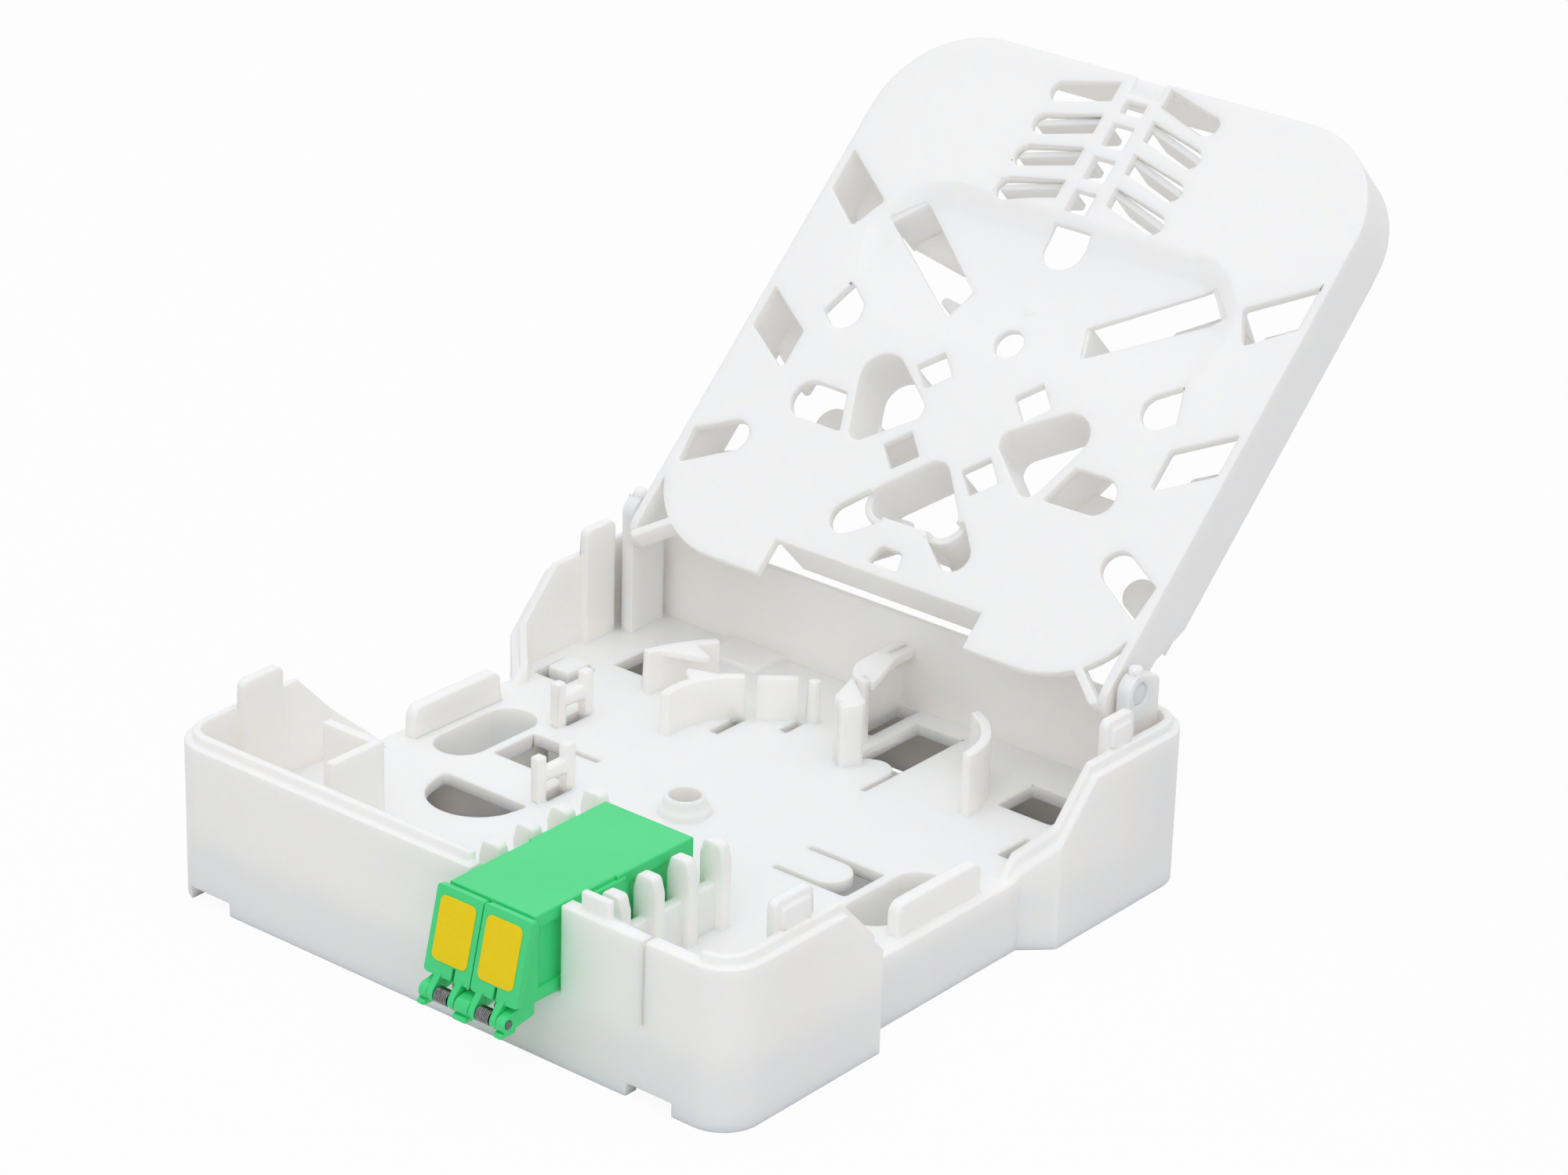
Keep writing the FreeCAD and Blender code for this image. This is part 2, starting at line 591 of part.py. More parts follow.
def tray_openings():
    """Openings on the right half that have a retaining lip above them; the left half mirrors them."""
    return [
        [(30.3, 42.8, 0.7), (35.7, 46.1, 0.2), (35.7, 51.6, 0.2), (28.5, 46.2, 0.7)],
        [(29.0, 21.6, 0.6), (35.7, 25.2, 0.2), (35.7, 30.6, 0.2), (29.0, 26.0, 0.6)],
        [(29.8, 10.3, 2.2), (35.0, 5.2, 0.4), (35.7, 9.4, 0.2)],
        [(22.3, 18.0, 2.6), (17.9, 20.2, 0.3), (16.2, 15.6, 0.3)],
        [(3.8, 6.2, 0.4), (8.4, 5.0, 2.2), (7.2, 9.0, 0.4)],
    ]


def tray_lips():
    """Lips of the same form, rooted in the rim or in a bobbin."""
    root = d.tray_width / 2 - d.rim_thick / 2
    return [
        [(30.3, 42.8, 0.7), (root, 46.6), (root, 52.2), (28.5, 46.2, 0.7)],
        [(29.0, 21.6, 0.6), (root, 25.6), (root, 31.0), (29.0, 26.0, 0.6)],
        [(29.8, 10.3, 2.2), (root, 4.4), (root, 9.4)],
        [(22.3, 18.0, 2.6), (17.5, 20.6), (15.4, 20.0), (15.0, 16.4)],
        [(3.8, 6.2, 0.4), (8.4, 5.0, 2.2), (7.2, 9.0, 0.4), (4.4, 9.6)],
    ]


def loop_corners(grow):
    """The three hollow bobbins; grow moves their outline outwards."""
    right = [(8.0, 21.0, 1.9 + grow), (13.0, 16.8, 1.8 + grow), (14.2, 23.9, 3.2 + grow)]
    left = [(-x, v, r) for x, v, r in reversed(right)]
    low = [(-4.6, 8.8, 2.2 + grow), (4.3, 8.9, 2.1 + grow), (0.1, 13.6, 2.2 + grow)]
    return [right, left, low]


def build_tray_shell(body):
    """Plate with its shallow dish, and the rim round the far side and the two flanks."""
    x = d.tray_width / 2
    far = [(x - d.tray_corner, d.tray_reach - d.tray_corner, d.tray_corner),
           (-(x - d.tray_corner), d.tray_reach - d.tray_corner, d.tray_corner)]
    heel = d.tray_heel - d.tray_tail
    near = [(-(x - d.tray_heel), heel, d.tray_heel), (x - d.tray_heel, heel, d.tray_heel)]
    pad(body, "plate", "XY", -d.tray_plate, [far + near], d.tray_plate)
    pad(body, "rim", "XY", -d.rim_height, [[(x, 8.2)] + far + [(-x, 8.2)]], d.rim_height)
    inner = x - d.rim_thick
    r = d.tray_corner - d.rim_thick
    top = d.tray_reach - d.rim_thick - r
    hollow = [(inner, 0), (inner - r, top, r), (-(inner - r), top, r), (-inner, 0)]
    pocket(body, "rim_inside", "XY", -d.rim_height, [hollow], d.rim_height - d.tray_plate, back=True)
    kinds = (("dish_back", "AdditiveLoft", -d.tray_plate, d.tray_dish, 0.6 - d.tray_tail),
             ("dish", "SubtractiveLoft", Dim(0), d.dish_depth, -d.tray_tail - 3))
    for name, kind, level, depth, near_end in kinds:
        edge = [(27.8, near_end), (17.8, 41.9, 10.0), (-17.8, 41.9, 10.0), (-27.8, near_end)]
        bottom = [(24.4, near_end), (17.4, 41.5, 7.0), (-17.4, 41.5, 7.0), (-24.4, near_end)]
        feature = body.newObject("PartDesign::" + kind, body.Label + "_" + name)
        feature.Profile = sketch_on(body, name + "_edge", "XY", level, [edge])
        feature.Sections = [sketch_on(body, name + "_floor", "XY", level - depth, [bottom])]
        feature.Ruled = True


def build_tray_hinge(body):
    """Flank walls that run down to the pins, and the chevron ribs at the near corners."""
    x = d.tray_width / 2
    flank = [(3.2, -6.0), (8.3, -8.2), (8.3, 0), (-3.9, -2.9, 2.9)]
    wall = pad(body, "flank", "YZ", x - d.rim_thick, [flank], d.rim_thick)
    leg = pad(body, "chevron", "XY", -3.0, [[(31.2, -2.6, 0.55), (35.6, -6.15, 0.55)]], 3.0)
    pin = pad(body, "pin", "YZ", x - 0.2, [[(d.tray_pin_v, d.tray_pin_w, d.hinge_pin)]], 2.3)
    mirrored(body, "other_side", [wall, leg, pin])
    notch = box_loop(-16, 16, -7, -0.7)
    pocket(body, "near_notch", "XY", 0.5, [notch], d.tray_plate + 2)


def build_tray_openings(body):
    """Openings in the plate: most of them come in pairs."""
    depth = d.tray_plate + d.tray_dish + 1
    slot = [[(10.5, 34.7, 0.5), (25.2, 44.9, 0.6), (22.3, 47.7, 0.6), (9.3, 38.1, 0.5)]]
    drop = [[(24.3, 30.7, 2.5), (27.0, 30.0, 0.3), (25.4, 34.2, 0.3)]]
    squares = [[(x + 2.8, v), (x, v + 2.8), (x - 2.8, v), (x, v - 2.8)]
               for x, v in ((7.6, 26.7), (6.1, 15.5))]
    paired = pocket(body, "paired_holes", "XY", 0.5, tray_openings(), depth)
    guides = pocket(body, "slots_and_squares", "XY", 0.5, slot + drop + squares, depth)
    mirrored(body, "paired_holes_left", [paired, guides])
    middle = [[(0, 33.1, 2.0)],
              [(-1.9, 0.9, 0.3), (1.9, 0.9, 0.3), (1.0, 2.2, 0.9), (-1.0, 2.2, 0.9)]]
    pocket(body, "middle_holes", "XY", 0.5, middle + loop_corners(0), depth)


def build_tray_fittings(body):
    """Behind the plate: bobbin walls, the near wall and the lips level with the rim's edge."""
    rise = d.rim_height - d.tray_dish - 0.5
    pad(body, "bobbins", "XY", -d.rim_height, loop_corners(d.loop_wall) + loop_corners(0), rise)
    lips = pad(body, "lips", "XY", -d.rim_height, tray_lips(), d.lip_thick)
    ends = [[(25.6, 44.2), (27.0, 45.4), (23.2, 49.3), (21.9, 48.2)],
            [(9.0, 38.9), (8.0, 38.8), (9.6, 33.6), (10.4, 34.2)]]
    walls = pad(body, "slot_walls", "XY", -d.rim_height, ends, rise)
    keepers = [[(26.4, 44.6), (23.0, 48.6), (16.6, 43.4, 0.6)],
               [(9.4, 34.2), (16.6, 38.6, 0.6), (8.4, 38.0)]]
    keep = pad(body, "slot_lips", "XY", -d.rim_height, keepers, d.lip_thick)
    mirrored(body, "lips_left", [lips, walls, keep])
    pad(body, "dot", "XY", -d.dish_depth - 0.5, [[(0, 38.6, 1.0)]], 0.75)
    pad(body, "near_wall", "XY", -d.rim_height, [box_loop(-16, 16, -0.7, 0.4)], rise)
    x = d.splice_x
    fins = [[(x + 3.4, 66.0), (x + 12.4, 63.2), (x + 12.4, 64.1), (x + 3.4, 66.9)],
            [(x - 12.4, 62.4), (x - 3.4, 65.2), (x - 3.4, 66.1), (x - 12.4, 63.3)]]
    fin = pad(body, "splice_fin", "XY", -d.tray_plate - 5.0, fins, 5.5)
    row_of(body, "splice_fins", [fin], "Y", d.splice_pitch, 3, back=True)


def build_splice_holder(body):
    """Slanted slots and ladder windows below the splice holder."""
    x = d.splice_x
    depth = d.tray_plate + 1
    slots = [[(x + 11.1, 68.4, 1.5), (x + 3.6, 72.0 - 0.2), (x + 3.6, 69.0)],
             [(x - 11.1, 67.5, 1.5), (x - 3.6, 68.1), (x - 3.6, 70.9)]]
    first = pocket(body, "splice_slot", "XY", 0.5, slots, depth)
    row_of(body, "splice_slots", [first], "Y", d.splice_pitch, 4, back=True)
    window = pocket(body, "ladder_window", "XY", 0.5, [box_loop(x - 1.65, x + 1.6, 62.0, 65.3)], depth)
    row_of(body, "ladder_windows", [window], "Y", d.splice_pitch + 0.05, 3, back=True)
    pocket(body, "ladder_end", "XY", 0.5, [box_loop(x - 1.65, x + 1.6, 66.9, 68.8)], depth)
    end = box_loop(x - 1.9, x + 2.7, 69.6, 74)
    pocket(body, "end_notch", "XY", 0.5, [end], 1.2)
    oblong = [(x - 2.35, 50.4), (x + 0.45, 47.5, 2.8), (x + 3.25, 50.4)]
    pocket(body, "oblong", "XY", 0.5, [oblong], depth + d.tray_dish)


def build_tray():
    """Hinged splice tray, built flat with its underside on top and then leaned open."""
    plate, fittings = new_body("tray_plate"), new_body("tray_fittings")
    build_tray_shell(plate)
    build_tray_hinge(plate)
    build_tray_openings(plate)
    build_splice_holder(plate)
    build_tray_fittings(fittings)
    tray = joined_piece("splice_tray", [plate, fittings])
    lean = Rotation(Vector(1, 0, 0), d.tray_angle.value)
    tray.Placement = Placement(Vector(0, d.tray_y.value, d.tray_z.value), lean)
    tray.setExpression("Placement.Base.y", d.tray_y.text)
    tray.setExpression("Placement.Base.z", d.tray_z.text)
    tray.setExpression("Placement.Rotation.Angle", d.tray_angle.text)
    return tray


def port_loops():
    """Section of the two plug ports: the plug body below, its latch above."""
    loops = []
    for side in (-1, 1):
        x = d.adapter_x + d.port_pitch * (side / 2)
        a, b = d.port_width / 2, d.latch_width / 2
        shelf = d.port_floor + d.port_width
        loops.append([(x - a, d.port_floor), (x + a, d.port_floor), (x + a, shelf), (x + b, shelf),
                      (x + b, d.latch_top), (x - b, d.latch_top), (x - b, shelf), (x - a, shelf)])
    return loops


def ferrule_loops(radius):
    return [[(d.adapter_x + d.port_pitch * (side / 2), d.ferrule_z, radius)] for side in (-1, 1)]


def build_adapter_half(label, profile, width, inward):
    """One moulded half: ports from its outer end, sleeve seats from the joint.

    The XZ plane looks towards -Y, so its lifts are distances in front of the middle.
    """
    body = new_body(label)
    pad(body, "block", "YZ", d.adapter_x - width / 2, [profile], width)
    front = inward > 0
    wall = d.adapter_split + d.port_depth * inward
    half_sleeve = d.sleeve_length / 2 + 0.1
    seat = d.adapter_split + half_sleeve * inward
    mouth = wall + 2.1 * inward
    pocket(body, "ports", "XZ", wall, port_loops(), 20, back=front)
    pad(body, "seats", "XZ", wall - 0.3 * inward, ferrule_loops(1.55), 2.2, back=not front)
    pocket(body, "seat_bores", "XZ", seat, ferrule_loops(d.sleeve_bore), half_sleeve, back=not front)
    ferrule = ferrule_loops(d.sleeve_inner + 0.1)
    pocket(body, "seat_mouths", "XZ", mouth, ferrule, 2.4, back=not front)
    return body


def sink_panels(body, width, y0, y1, low, high, sides):
    """Shallow panels in the sides of one half; sides holds -1 for the left and 1 for the right."""
    for side in sides:
        face = d.adapter_x + width * (side / 2)
        name = "panel_right" if side > 0 else "panel_left"
        loop = [box_loop(y0, y1, low, high, 0.2)]
        pocket(body, name, "YZ", face, loop, d.panel_depth, back=side < 0)


def build_bands(body, inward, length):
    """Bands on both sides of a half, next to the joint."""
    reach = d.adapter_width / 2 + d.flange_proud
    bands = [box_loop(d.adapter_x - reach, d.adapter_x - reach + 1.0, 10.4, 19.5, 0.3),
             box_loop(d.adapter_x + reach - 1.0, d.adapter_x + reach, 10.4, 19.5, 0.3)]
    pad(body, "bands", "XZ", d.adapter_split, bands, length, back=inward < 0)


def build_lugs(body):
    """Three lugs for the shutter pin; each ends below in a flat foot."""
    reach = d.adapter_width / 2
    middle = d.lug_width * 1.7
    lugs = (("left", d.adapter_x - reach, d.lug_width),
            ("middle", d.adapter_x - middle / 2, middle),
            ("right", d.adapter_x + reach - d.lug_width, d.lug_width))
    loop = [(d.pivot_y, d.pivot_z, d.lug_radius), (-46.0, 7.9), (-46.0, 10.0)]
    foot = box_loop(-d.lug_foot, -49.0, 6.85, 7.5, 0.25)
    for name, x, width in lugs:
        pad(body, "lug_" + name, "YZ", x, [loop], width)
        pad(body, "foot_" + name, "YZ", x, [foot], width)
    pin = [[(d.pivot_y, d.pivot_z, d.pivot_pin)]]
    pocket(body, "lug_holes", "YZ", d.adapter_x + d.adapter_width, pin, d.adapter_width * 2)


def build_adapter():
    """Front and rear halves of the duplex adapter; the front half carries the shutters."""
    low, high = d.floor_top, d.adapter_top
    split, rear = -d.adapter_split, -d.adapter_rear
    nose = [(-d.adapter_toe, low), (split, low), (split, high), (-d.adapter_nose, high)]
    front = build_adapter_half("adapter_front_housing", nose, d.adapter_width, 1)
    build_bands(front, 1, 3.7)
    sink_panels(front, d.adapter_width, -45.3, -37.2, 10.95, 18.5, (-1, 1))
    build_lugs(front)
    tail = [(split, low), (rear, low), (rear, high), (split, high)]
    back = build_adapter_half("adapter_rear_housing", tail, d.rear_width, -1)
    build_bands(back, -1, 1.3)
    sink_panels(back, d.rear_width, -30.8, -21.4, 11.0, 18.4, (-1, 1))
    return [front, back]


def build_sleeve(label, side):
    """Split ceramic sleeve that lines up two ferrules."""
    body = new_body(label)
    rings = [[(0, 0, d.sleeve_outer)], [(0, 0, d.sleeve_inner)]]
    pad(body, "tube", "XZ", -d.sleeve_length / 2, rings, d.sleeve_length)
    pocket(body, "slit", "XY", 2, [box_loop(-0.12, 0.12, -5, 5)], 2)
    x = d.adapter_x + d.port_pitch * (side / 2)
    body.Placement = Placement(Vector(x.value, -d.adapter_split.value, d.ferrule_z.value), Rotation())
    body.setExpression("Placement.Base.x", x.text)
    body.setExpression("Placement.Base.y", "-" + d.adapter_split.text)
    body.setExpression("Placement.Base.z", d.ferrule_z.text)
    return body


def lean_on_pivot(body, x):
    """Stand a body on the shutter pin with the shutters' lean."""
    x = as_dim(x)
    body.Placement = Placement(Vector(x.value, d.pivot_y.value, d.pivot_z.value),
                               Rotation(Vector(1, 0, 0), d.shutter_lean.value))
    body.setExpression("Placement.Base.x", x.text)
    body.setExpression("Placement.Base.y", d.pivot_y.text)
    body.setExpression("Placement.Base.z", d.pivot_z.text)
    return body


def build_shutter(label, side):
    """Flip-down shutter: a plate on two knuckles, with the spring between them."""
    body = new_body(label)
    edges = (-d.shutter_outer, d.shutter_inner) if side < 0 else (-d.shutter_inner, d.shutter_outer)
    plate = box_loop(*edges, d.shutter_foot, d.shutter_head, 0.4)
    pad(body, "plate", "XZ", -d.shutter_thick, [plate], d.shutter_thick)
    slot = box_loop(0.5 - d.leg_slot / 2, 0.5 + d.leg_slot / 2, 0, d.shutter_foot + 1.5)
    pocket(body, "leg_slot", "XZ", 0.1, [slot], d.shutter_thick + 0.2)
    knuckle = [(0, 0, 1.0), (d.shutter_thick, d.shutter_foot + 0.6), (0.05, d.shutter_foot + 0.6)]
    for name, x in (("outer", -2.0), ("inner", 1.15)):
        pad(body, name + "_knuckle", "YZ", x, [knuckle], 0.85)
    pocket(body, "pin_hole", "YZ", 10, [[(0, 0, d.pivot_hole)]], 20)
    return lean_on_pivot(body, d.adapter_x + d.port_pitch * (side / 2))


def build_label(label, side):
    """Plain film label on a shutter's outer face."""
    body = new_body(label)
    x = d.label_shift * side - d.label_width / 2
    film = box_loop(x, x + d.label_width, d.label_low, d.label_high, 0.8)
    pad(body, "film", "XZ", 0, [film], d.label_thick)
    return lean_on_pivot(body, d.adapter_x + d.port_pitch * (side / 2))


def build_pin():
    """Steel pin through the three lugs."""
    body = new_body("shutter_pin")
    left = d.adapter_x - d.adapter_width / 2
    pad(body, "rod", "YZ", left, [[(d.pivot_y, d.pivot_z, d.pivot_pin)]], d.adapter_width)
    return body


def build_spring(label, side):
    """Coil spring round the pin, between the knuckles of one shutter."""
    body = new_body(label)
    wire = sketch_on(body, "wire", "XY", 0, [[(0, d.spring_radius, d.spring_wire)]])
    coil = body.newObject("PartDesign::AdditiveHelix", label + "_coil")
    coil.Profile = wire
    coil.ReferenceAxis = (wire, ["H_Axis"])
    coil.Mode = 0
    bind(coil, "Pitch", d.spring_pitch)
    bind(coil, "Height", d.spring_length - d.spring_wire * 2)
    x = d.adapter_x + d.port_pitch * (side / 2) - d.spring_length / 2 + d.spring_wire
    body.Placement = Placement(Vector(x.value, d.pivot_y.value, d.pivot_z.value), Rotation())
    body.setExpression("Placement.Base.x", x.text)
    body.setExpression("Placement.Base.y", d.pivot_y.text)
    body.setExpression("Placement.Base.z", d.pivot_z.text)
    return body


def check_and_export(bodies):
    """Stop on any feature that failed, then write one STEP file for each piece."""
    for item in DOC.Objects:
        if "Invalid" in item.State or "Error" in item.State:
            raise RuntimeError("%s: %s" % (item.Label, item.State))
    os.makedirs("parts", exist_ok=True)
    for body in bodies:
        shape = body.Shape
        if shape.isNull() or not shape.isValid() or not shape.Solids:
            raise RuntimeError("no valid solid in " + body.Label)
        shape.exportStep("parts/%s.step" % body.Label)
        print("%-24s %2d solid(s) %9.1f mm3" % (body.Label, len(shape.Solids), shape.Volume))


def main():
    bodies = [build_base(), build_tray()] + build_adapter() + [build_pin()]
    for name, side in (("left", -1), ("right", 1)):
        bodies.append(build_sleeve("alignment_sleeve_" + name, side))
        bodies.append(build_shutter("shutter_" + name, side))
        bodies.append(build_label("shutter_label_" + name, side))
        bodies.append(build_spring("shutter_spring_" + name, side))
    DOC.recompute()
    check_and_export(bodies)


main()
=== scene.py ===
"""Looks of the fibre optic wall outlet: white mouldings, green shuttered adapter, soft studio light."""
from __future__ import annotations

import logging
import math
from dataclasses import dataclass
from enum import Enum
from typing import Any

import bmesh
import bpy
import numpy as np
from mathutils import Matrix, Vector
from mathutils.bvhtree import BVHTree


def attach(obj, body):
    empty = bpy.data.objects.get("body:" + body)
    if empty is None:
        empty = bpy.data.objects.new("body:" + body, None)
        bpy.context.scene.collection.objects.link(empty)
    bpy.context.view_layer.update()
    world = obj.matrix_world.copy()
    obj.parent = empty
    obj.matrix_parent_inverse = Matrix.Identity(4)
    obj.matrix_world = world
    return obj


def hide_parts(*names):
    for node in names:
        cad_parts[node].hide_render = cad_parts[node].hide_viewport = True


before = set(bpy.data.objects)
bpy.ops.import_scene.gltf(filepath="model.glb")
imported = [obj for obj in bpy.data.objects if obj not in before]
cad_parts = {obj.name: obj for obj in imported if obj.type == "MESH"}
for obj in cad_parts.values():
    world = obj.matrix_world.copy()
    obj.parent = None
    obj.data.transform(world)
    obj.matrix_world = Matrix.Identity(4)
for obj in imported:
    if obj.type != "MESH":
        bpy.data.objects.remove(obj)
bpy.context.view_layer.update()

LOG = logging.getLogger("fibre_outlet")
MM = 0.001
TINY = 1e-20
WHITE_LIGHT = (1.0, 1.0, 1.0)

Colour = tuple[float, float, float]
Axes = tuple[float, float, float]


class Slot(Enum):
    """Material slots of the record."""

    WHITE = "white_plastic"
    GREEN = "green_plastic"
    YELLOW = "yellow_film"
    STEEL = "spring_steel"
    CERAMIC = "sleeve_ceramic"


class Body(Enum):
    """Bodies of the frame that pieces ride on."""

    BASE = "base"
    TRAY = "tray"
    LEFT_SHUTTER = "left_shutter"
    RIGHT_SHUTTER = "right_shutter"


class Side(Enum):
    """Sides of the adapter as seen from its shutters."""

    LEFT = -1
    RIGHT = 1

    @property
    def word(self) -> str:
        """Lower-case name, as the nodes use it."""
        return self.name.lower()

    @property
    def body(self) -> Body:
        """Body of the shutter on this side."""
        return Body.LEFT_SHUTTER if self is Side.LEFT else Body.RIGHT_SHUTTER


Finishes = dict[Slot, bpy.types.Material]


def rgba(colour: Colour) -> tuple[float, float, float, float]:
    """Colour with full cover."""
    return (*colour, 1.0)


class NodeSheet:
    """Shorthand for building one material's node tree."""

    ramp_ends: tuple[float, float] = (0.35, 0.65)

    def __init__(self, name: str) -> None:
        """Start an empty material with its shader.

        Args:
            name: Name of the new material.
        """
        self.material = bpy.data.materials.new(name)
        self.material.use_nodes = True
        self.tree = self.material.node_tree
        self.shader = self.tree.nodes["Principled BSDF"]

    def add(self, kind: str, **settings: Any) -> bpy.types.Node:
        """Add a node and set its plain properties.

        Args:
            kind: Blender's node type.
            **settings: Properties of the node.

        Returns:
            The new node.
        """
        node = self.tree.nodes.new(kind)
        for name, value in settings.items():
            setattr(node, name, value)
        return node

    def join(self, source: bpy.types.NodeSocket, target: bpy.types.NodeSocket) -> None:
        """Link two sockets."""
        self.tree.links.new(source, target)

    def set(self, **values: Any) -> None:
        """Set constant values on the shader's own sockets; underscores stand for spaces."""
        for name, value in values.items():
            self.shader.inputs[name.replace("_", " ")].default_value = value

    def noise(self, scale: float, detail: float,
              stretch: Axes = (1.0, 1.0, 1.0)) -> bpy.types.NodeSocket:
        """Noise that follows the object's own coordinates.

        Args:
            scale: Cells in one metre.
            detail: Octaves of finer noise.
            stretch: Factors on the scale along X, Y and Z.

        Returns:
            The noise value.
        """
        place = self.add("ShaderNodeTexCoord")
        turn = self.add("ShaderNodeMapping")
        turn.inputs["Scale"].default_value = stretch
        noise = self.add("ShaderNodeTexNoise")
        noise.inputs["Scale"].default_value = scale
        noise.inputs["Detail"].default_value = detail
        self.join(place.outputs["Object"], turn.inputs["Vector"])
        self.join(turn.outputs["Vector"], noise.inputs["Vector"])
        return noise.outputs["Fac"]

    def ramp(self, factor: bpy.types.NodeSocket, low: Colour, high: Colour) -> bpy.types.NodeSocket:
        """Blend between two colours by a factor.

        Args:
            factor: Socket that drives the blend.
            low: Colour at the low end.
            high: Colour at the high end.

        Returns:
            The blended colour.
        """
        ramp = self.add("ShaderNodeValToRGB")
        for stop, end, colour in zip(ramp.color_ramp.elements, self.ramp_ends, (low, high)):
            stop.position = end
            stop.color = rgba(colour)
        self.join(factor, ramp.inputs["Fac"])
        return ramp.outputs["Color"]

    def span(self, factor: bpy.types.NodeSocket, low: float, high: float) -> bpy.types.NodeSocket:
        """Carry a factor from nought and one to two other limits.

        Args:
            factor: Socket to carry over.
            low: Value at nought.
            high: Value at one.

        Returns:
            The new value.
        """
        span = self.add("ShaderNodeMapRange")
        span.inputs["To Min"].default_value = low
        span.inputs["To Max"].default_value = high
        self.join(factor, span.inputs["Value"])
        return span.outputs["Result"]

    def bump(self, height: bpy.types.NodeSocket, strength: float, distance: float) -> None:
        """Fine relief on the shader's normal.

        Args:
            height: Socket that gives the relief.
            strength: Share of the relief that shows.
            distance: Depth of the relief in metres.
        """
        bump = self.add("ShaderNodeBump")
        bump.inputs["Strength"].default_value = strength
        bump.inputs["Distance"].default_value = distance
        self.join(height, bump.inputs["Height"])
        self.join(bump.outputs["Normal"], self.shader.inputs["Normal"])


@dataclass(frozen=True)
class Moulding:
    """Moulded plastic with faint clouding, a fine skin and an uneven gloss."""

    name: str
    pale: Colour
    deep: Colour
    roughness: float
    uneven: float = 0.05
    gloss: float = 0.5
    cloud_scale: float = 90.0
    cloud_detail: float = 3.0
    gloss_scale: float = 360.0
    gloss_detail: float = 2.0
    grain_scale: float = 5200.0
    grain_detail: float = 1.0
    grain_share: float = 0.12
    grain_depth: float = 0.02 * MM
    glow: float = 0.0
    glow_depth: float = 1.5 * MM
    glow_tint: Colour = (1.0, 0.82, 0.62)

    def material(self) -> bpy.types.Material:
        """Build the finish.

        Returns:
            The new material.
        """
        sheet = NodeSheet(self.name)
        cloud = sheet.noise(self.cloud_scale, self.cloud_detail)
        sheet.join(sheet.ramp(cloud, self.deep, self.pale), sheet.shader.inputs["Base Color"])
        gloss = sheet.noise(self.gloss_scale, self.gloss_detail)
        rough = sheet.span(gloss, self.roughness - self.uneven, self.roughness + self.uneven)
        sheet.join(rough, sheet.shader.inputs["Roughness"])
        sheet.set(Specular_IOR_Level=self.gloss, Subsurface_Weight=self.glow,
                  Subsurface_Scale=self.glow_depth, Subsurface_Radius=self.glow_tint)
        grain = sheet.noise(self.grain_scale, self.grain_detail)
        sheet.bump(grain, self.grain_share, self.grain_depth)
        return sheet.material


@dataclass(frozen=True)
class PrintedFilm:
    """Satin film with a fine paper-like tooth under its colour."""

    name: str
    pale: Colour
    deep: Colour
    roughness: float
    gloss: float
    tooth_scale: float = 2400.0
    tooth_detail: float = 4.0
    tooth_share: float = 0.08
    tooth_depth: float = 0.01 * MM

    def material(self) -> bpy.types.Material:
        """Build the finish.

        Returns:
            The new material.
        """
        sheet = NodeSheet(self.name)
        tooth = sheet.noise(self.tooth_scale, self.tooth_detail)
        sheet.join(sheet.ramp(tooth, self.deep, self.pale), sheet.shader.inputs["Base Color"])
        sheet.set(Roughness=self.roughness, Specular_IOR_Level=self.gloss)
        sheet.bump(tooth, self.tooth_share, self.tooth_depth)
        return sheet.material


@dataclass(frozen=True)
class DrawnSteel:
    """Drawn steel with fine streaks across X."""

    name: str
    pale: Colour
    deep: Colour
    roughness: float
    uneven: float = 0.08
    streak_scale: float = 1800.0
    streak_detail: float = 3.0
    streak_stretch: Axes = (4.0, 1.0, 1.0)

    def material(self) -> bpy.types.Material:
        """Build the finish.

        Returns:
            The new material.
        """
        sheet = NodeSheet(self.name)
        streak = sheet.noise(self.streak_scale, self.streak_detail, self.streak_stretch)
        sheet.join(sheet.ramp(streak, self.deep, self.pale), sheet.shader.inputs["Base Color"])
        rough = sheet.span(streak, self.roughness - self.uneven, self.roughness + self.uneven)
        sheet.join(rough, sheet.shader.inputs["Roughness"])
        sheet.set(Metallic=1.0)
        return sheet.material


FINISHES = {
    Slot.WHITE: Moulding("white moulding", (0.972, 0.957, 0.926), (0.963, 0.948, 0.916), 0.42,
                         glow=0.85, glow_depth=2.6 * MM),
    Slot.GREEN: Moulding("green moulding", (0.042, 0.710, 0.225), (0.037, 0.680, 0.210), 0.36,
                         gloss=0.6),
    Slot.YELLOW: PrintedFilm("yellow film", (0.900, 0.680, 0.012), (0.880, 0.660, 0.010), 0.55, 0.15),
    Slot.STEEL: DrawnSteel("drawn steel", (0.30, 0.30, 0.31), (0.14, 0.14, 0.15), 0.30),
    Slot.CERAMIC: Moulding("white ceramic", (0.86, 0.86, 0.85), (0.83, 0.83, 0.82), 0.12),
}


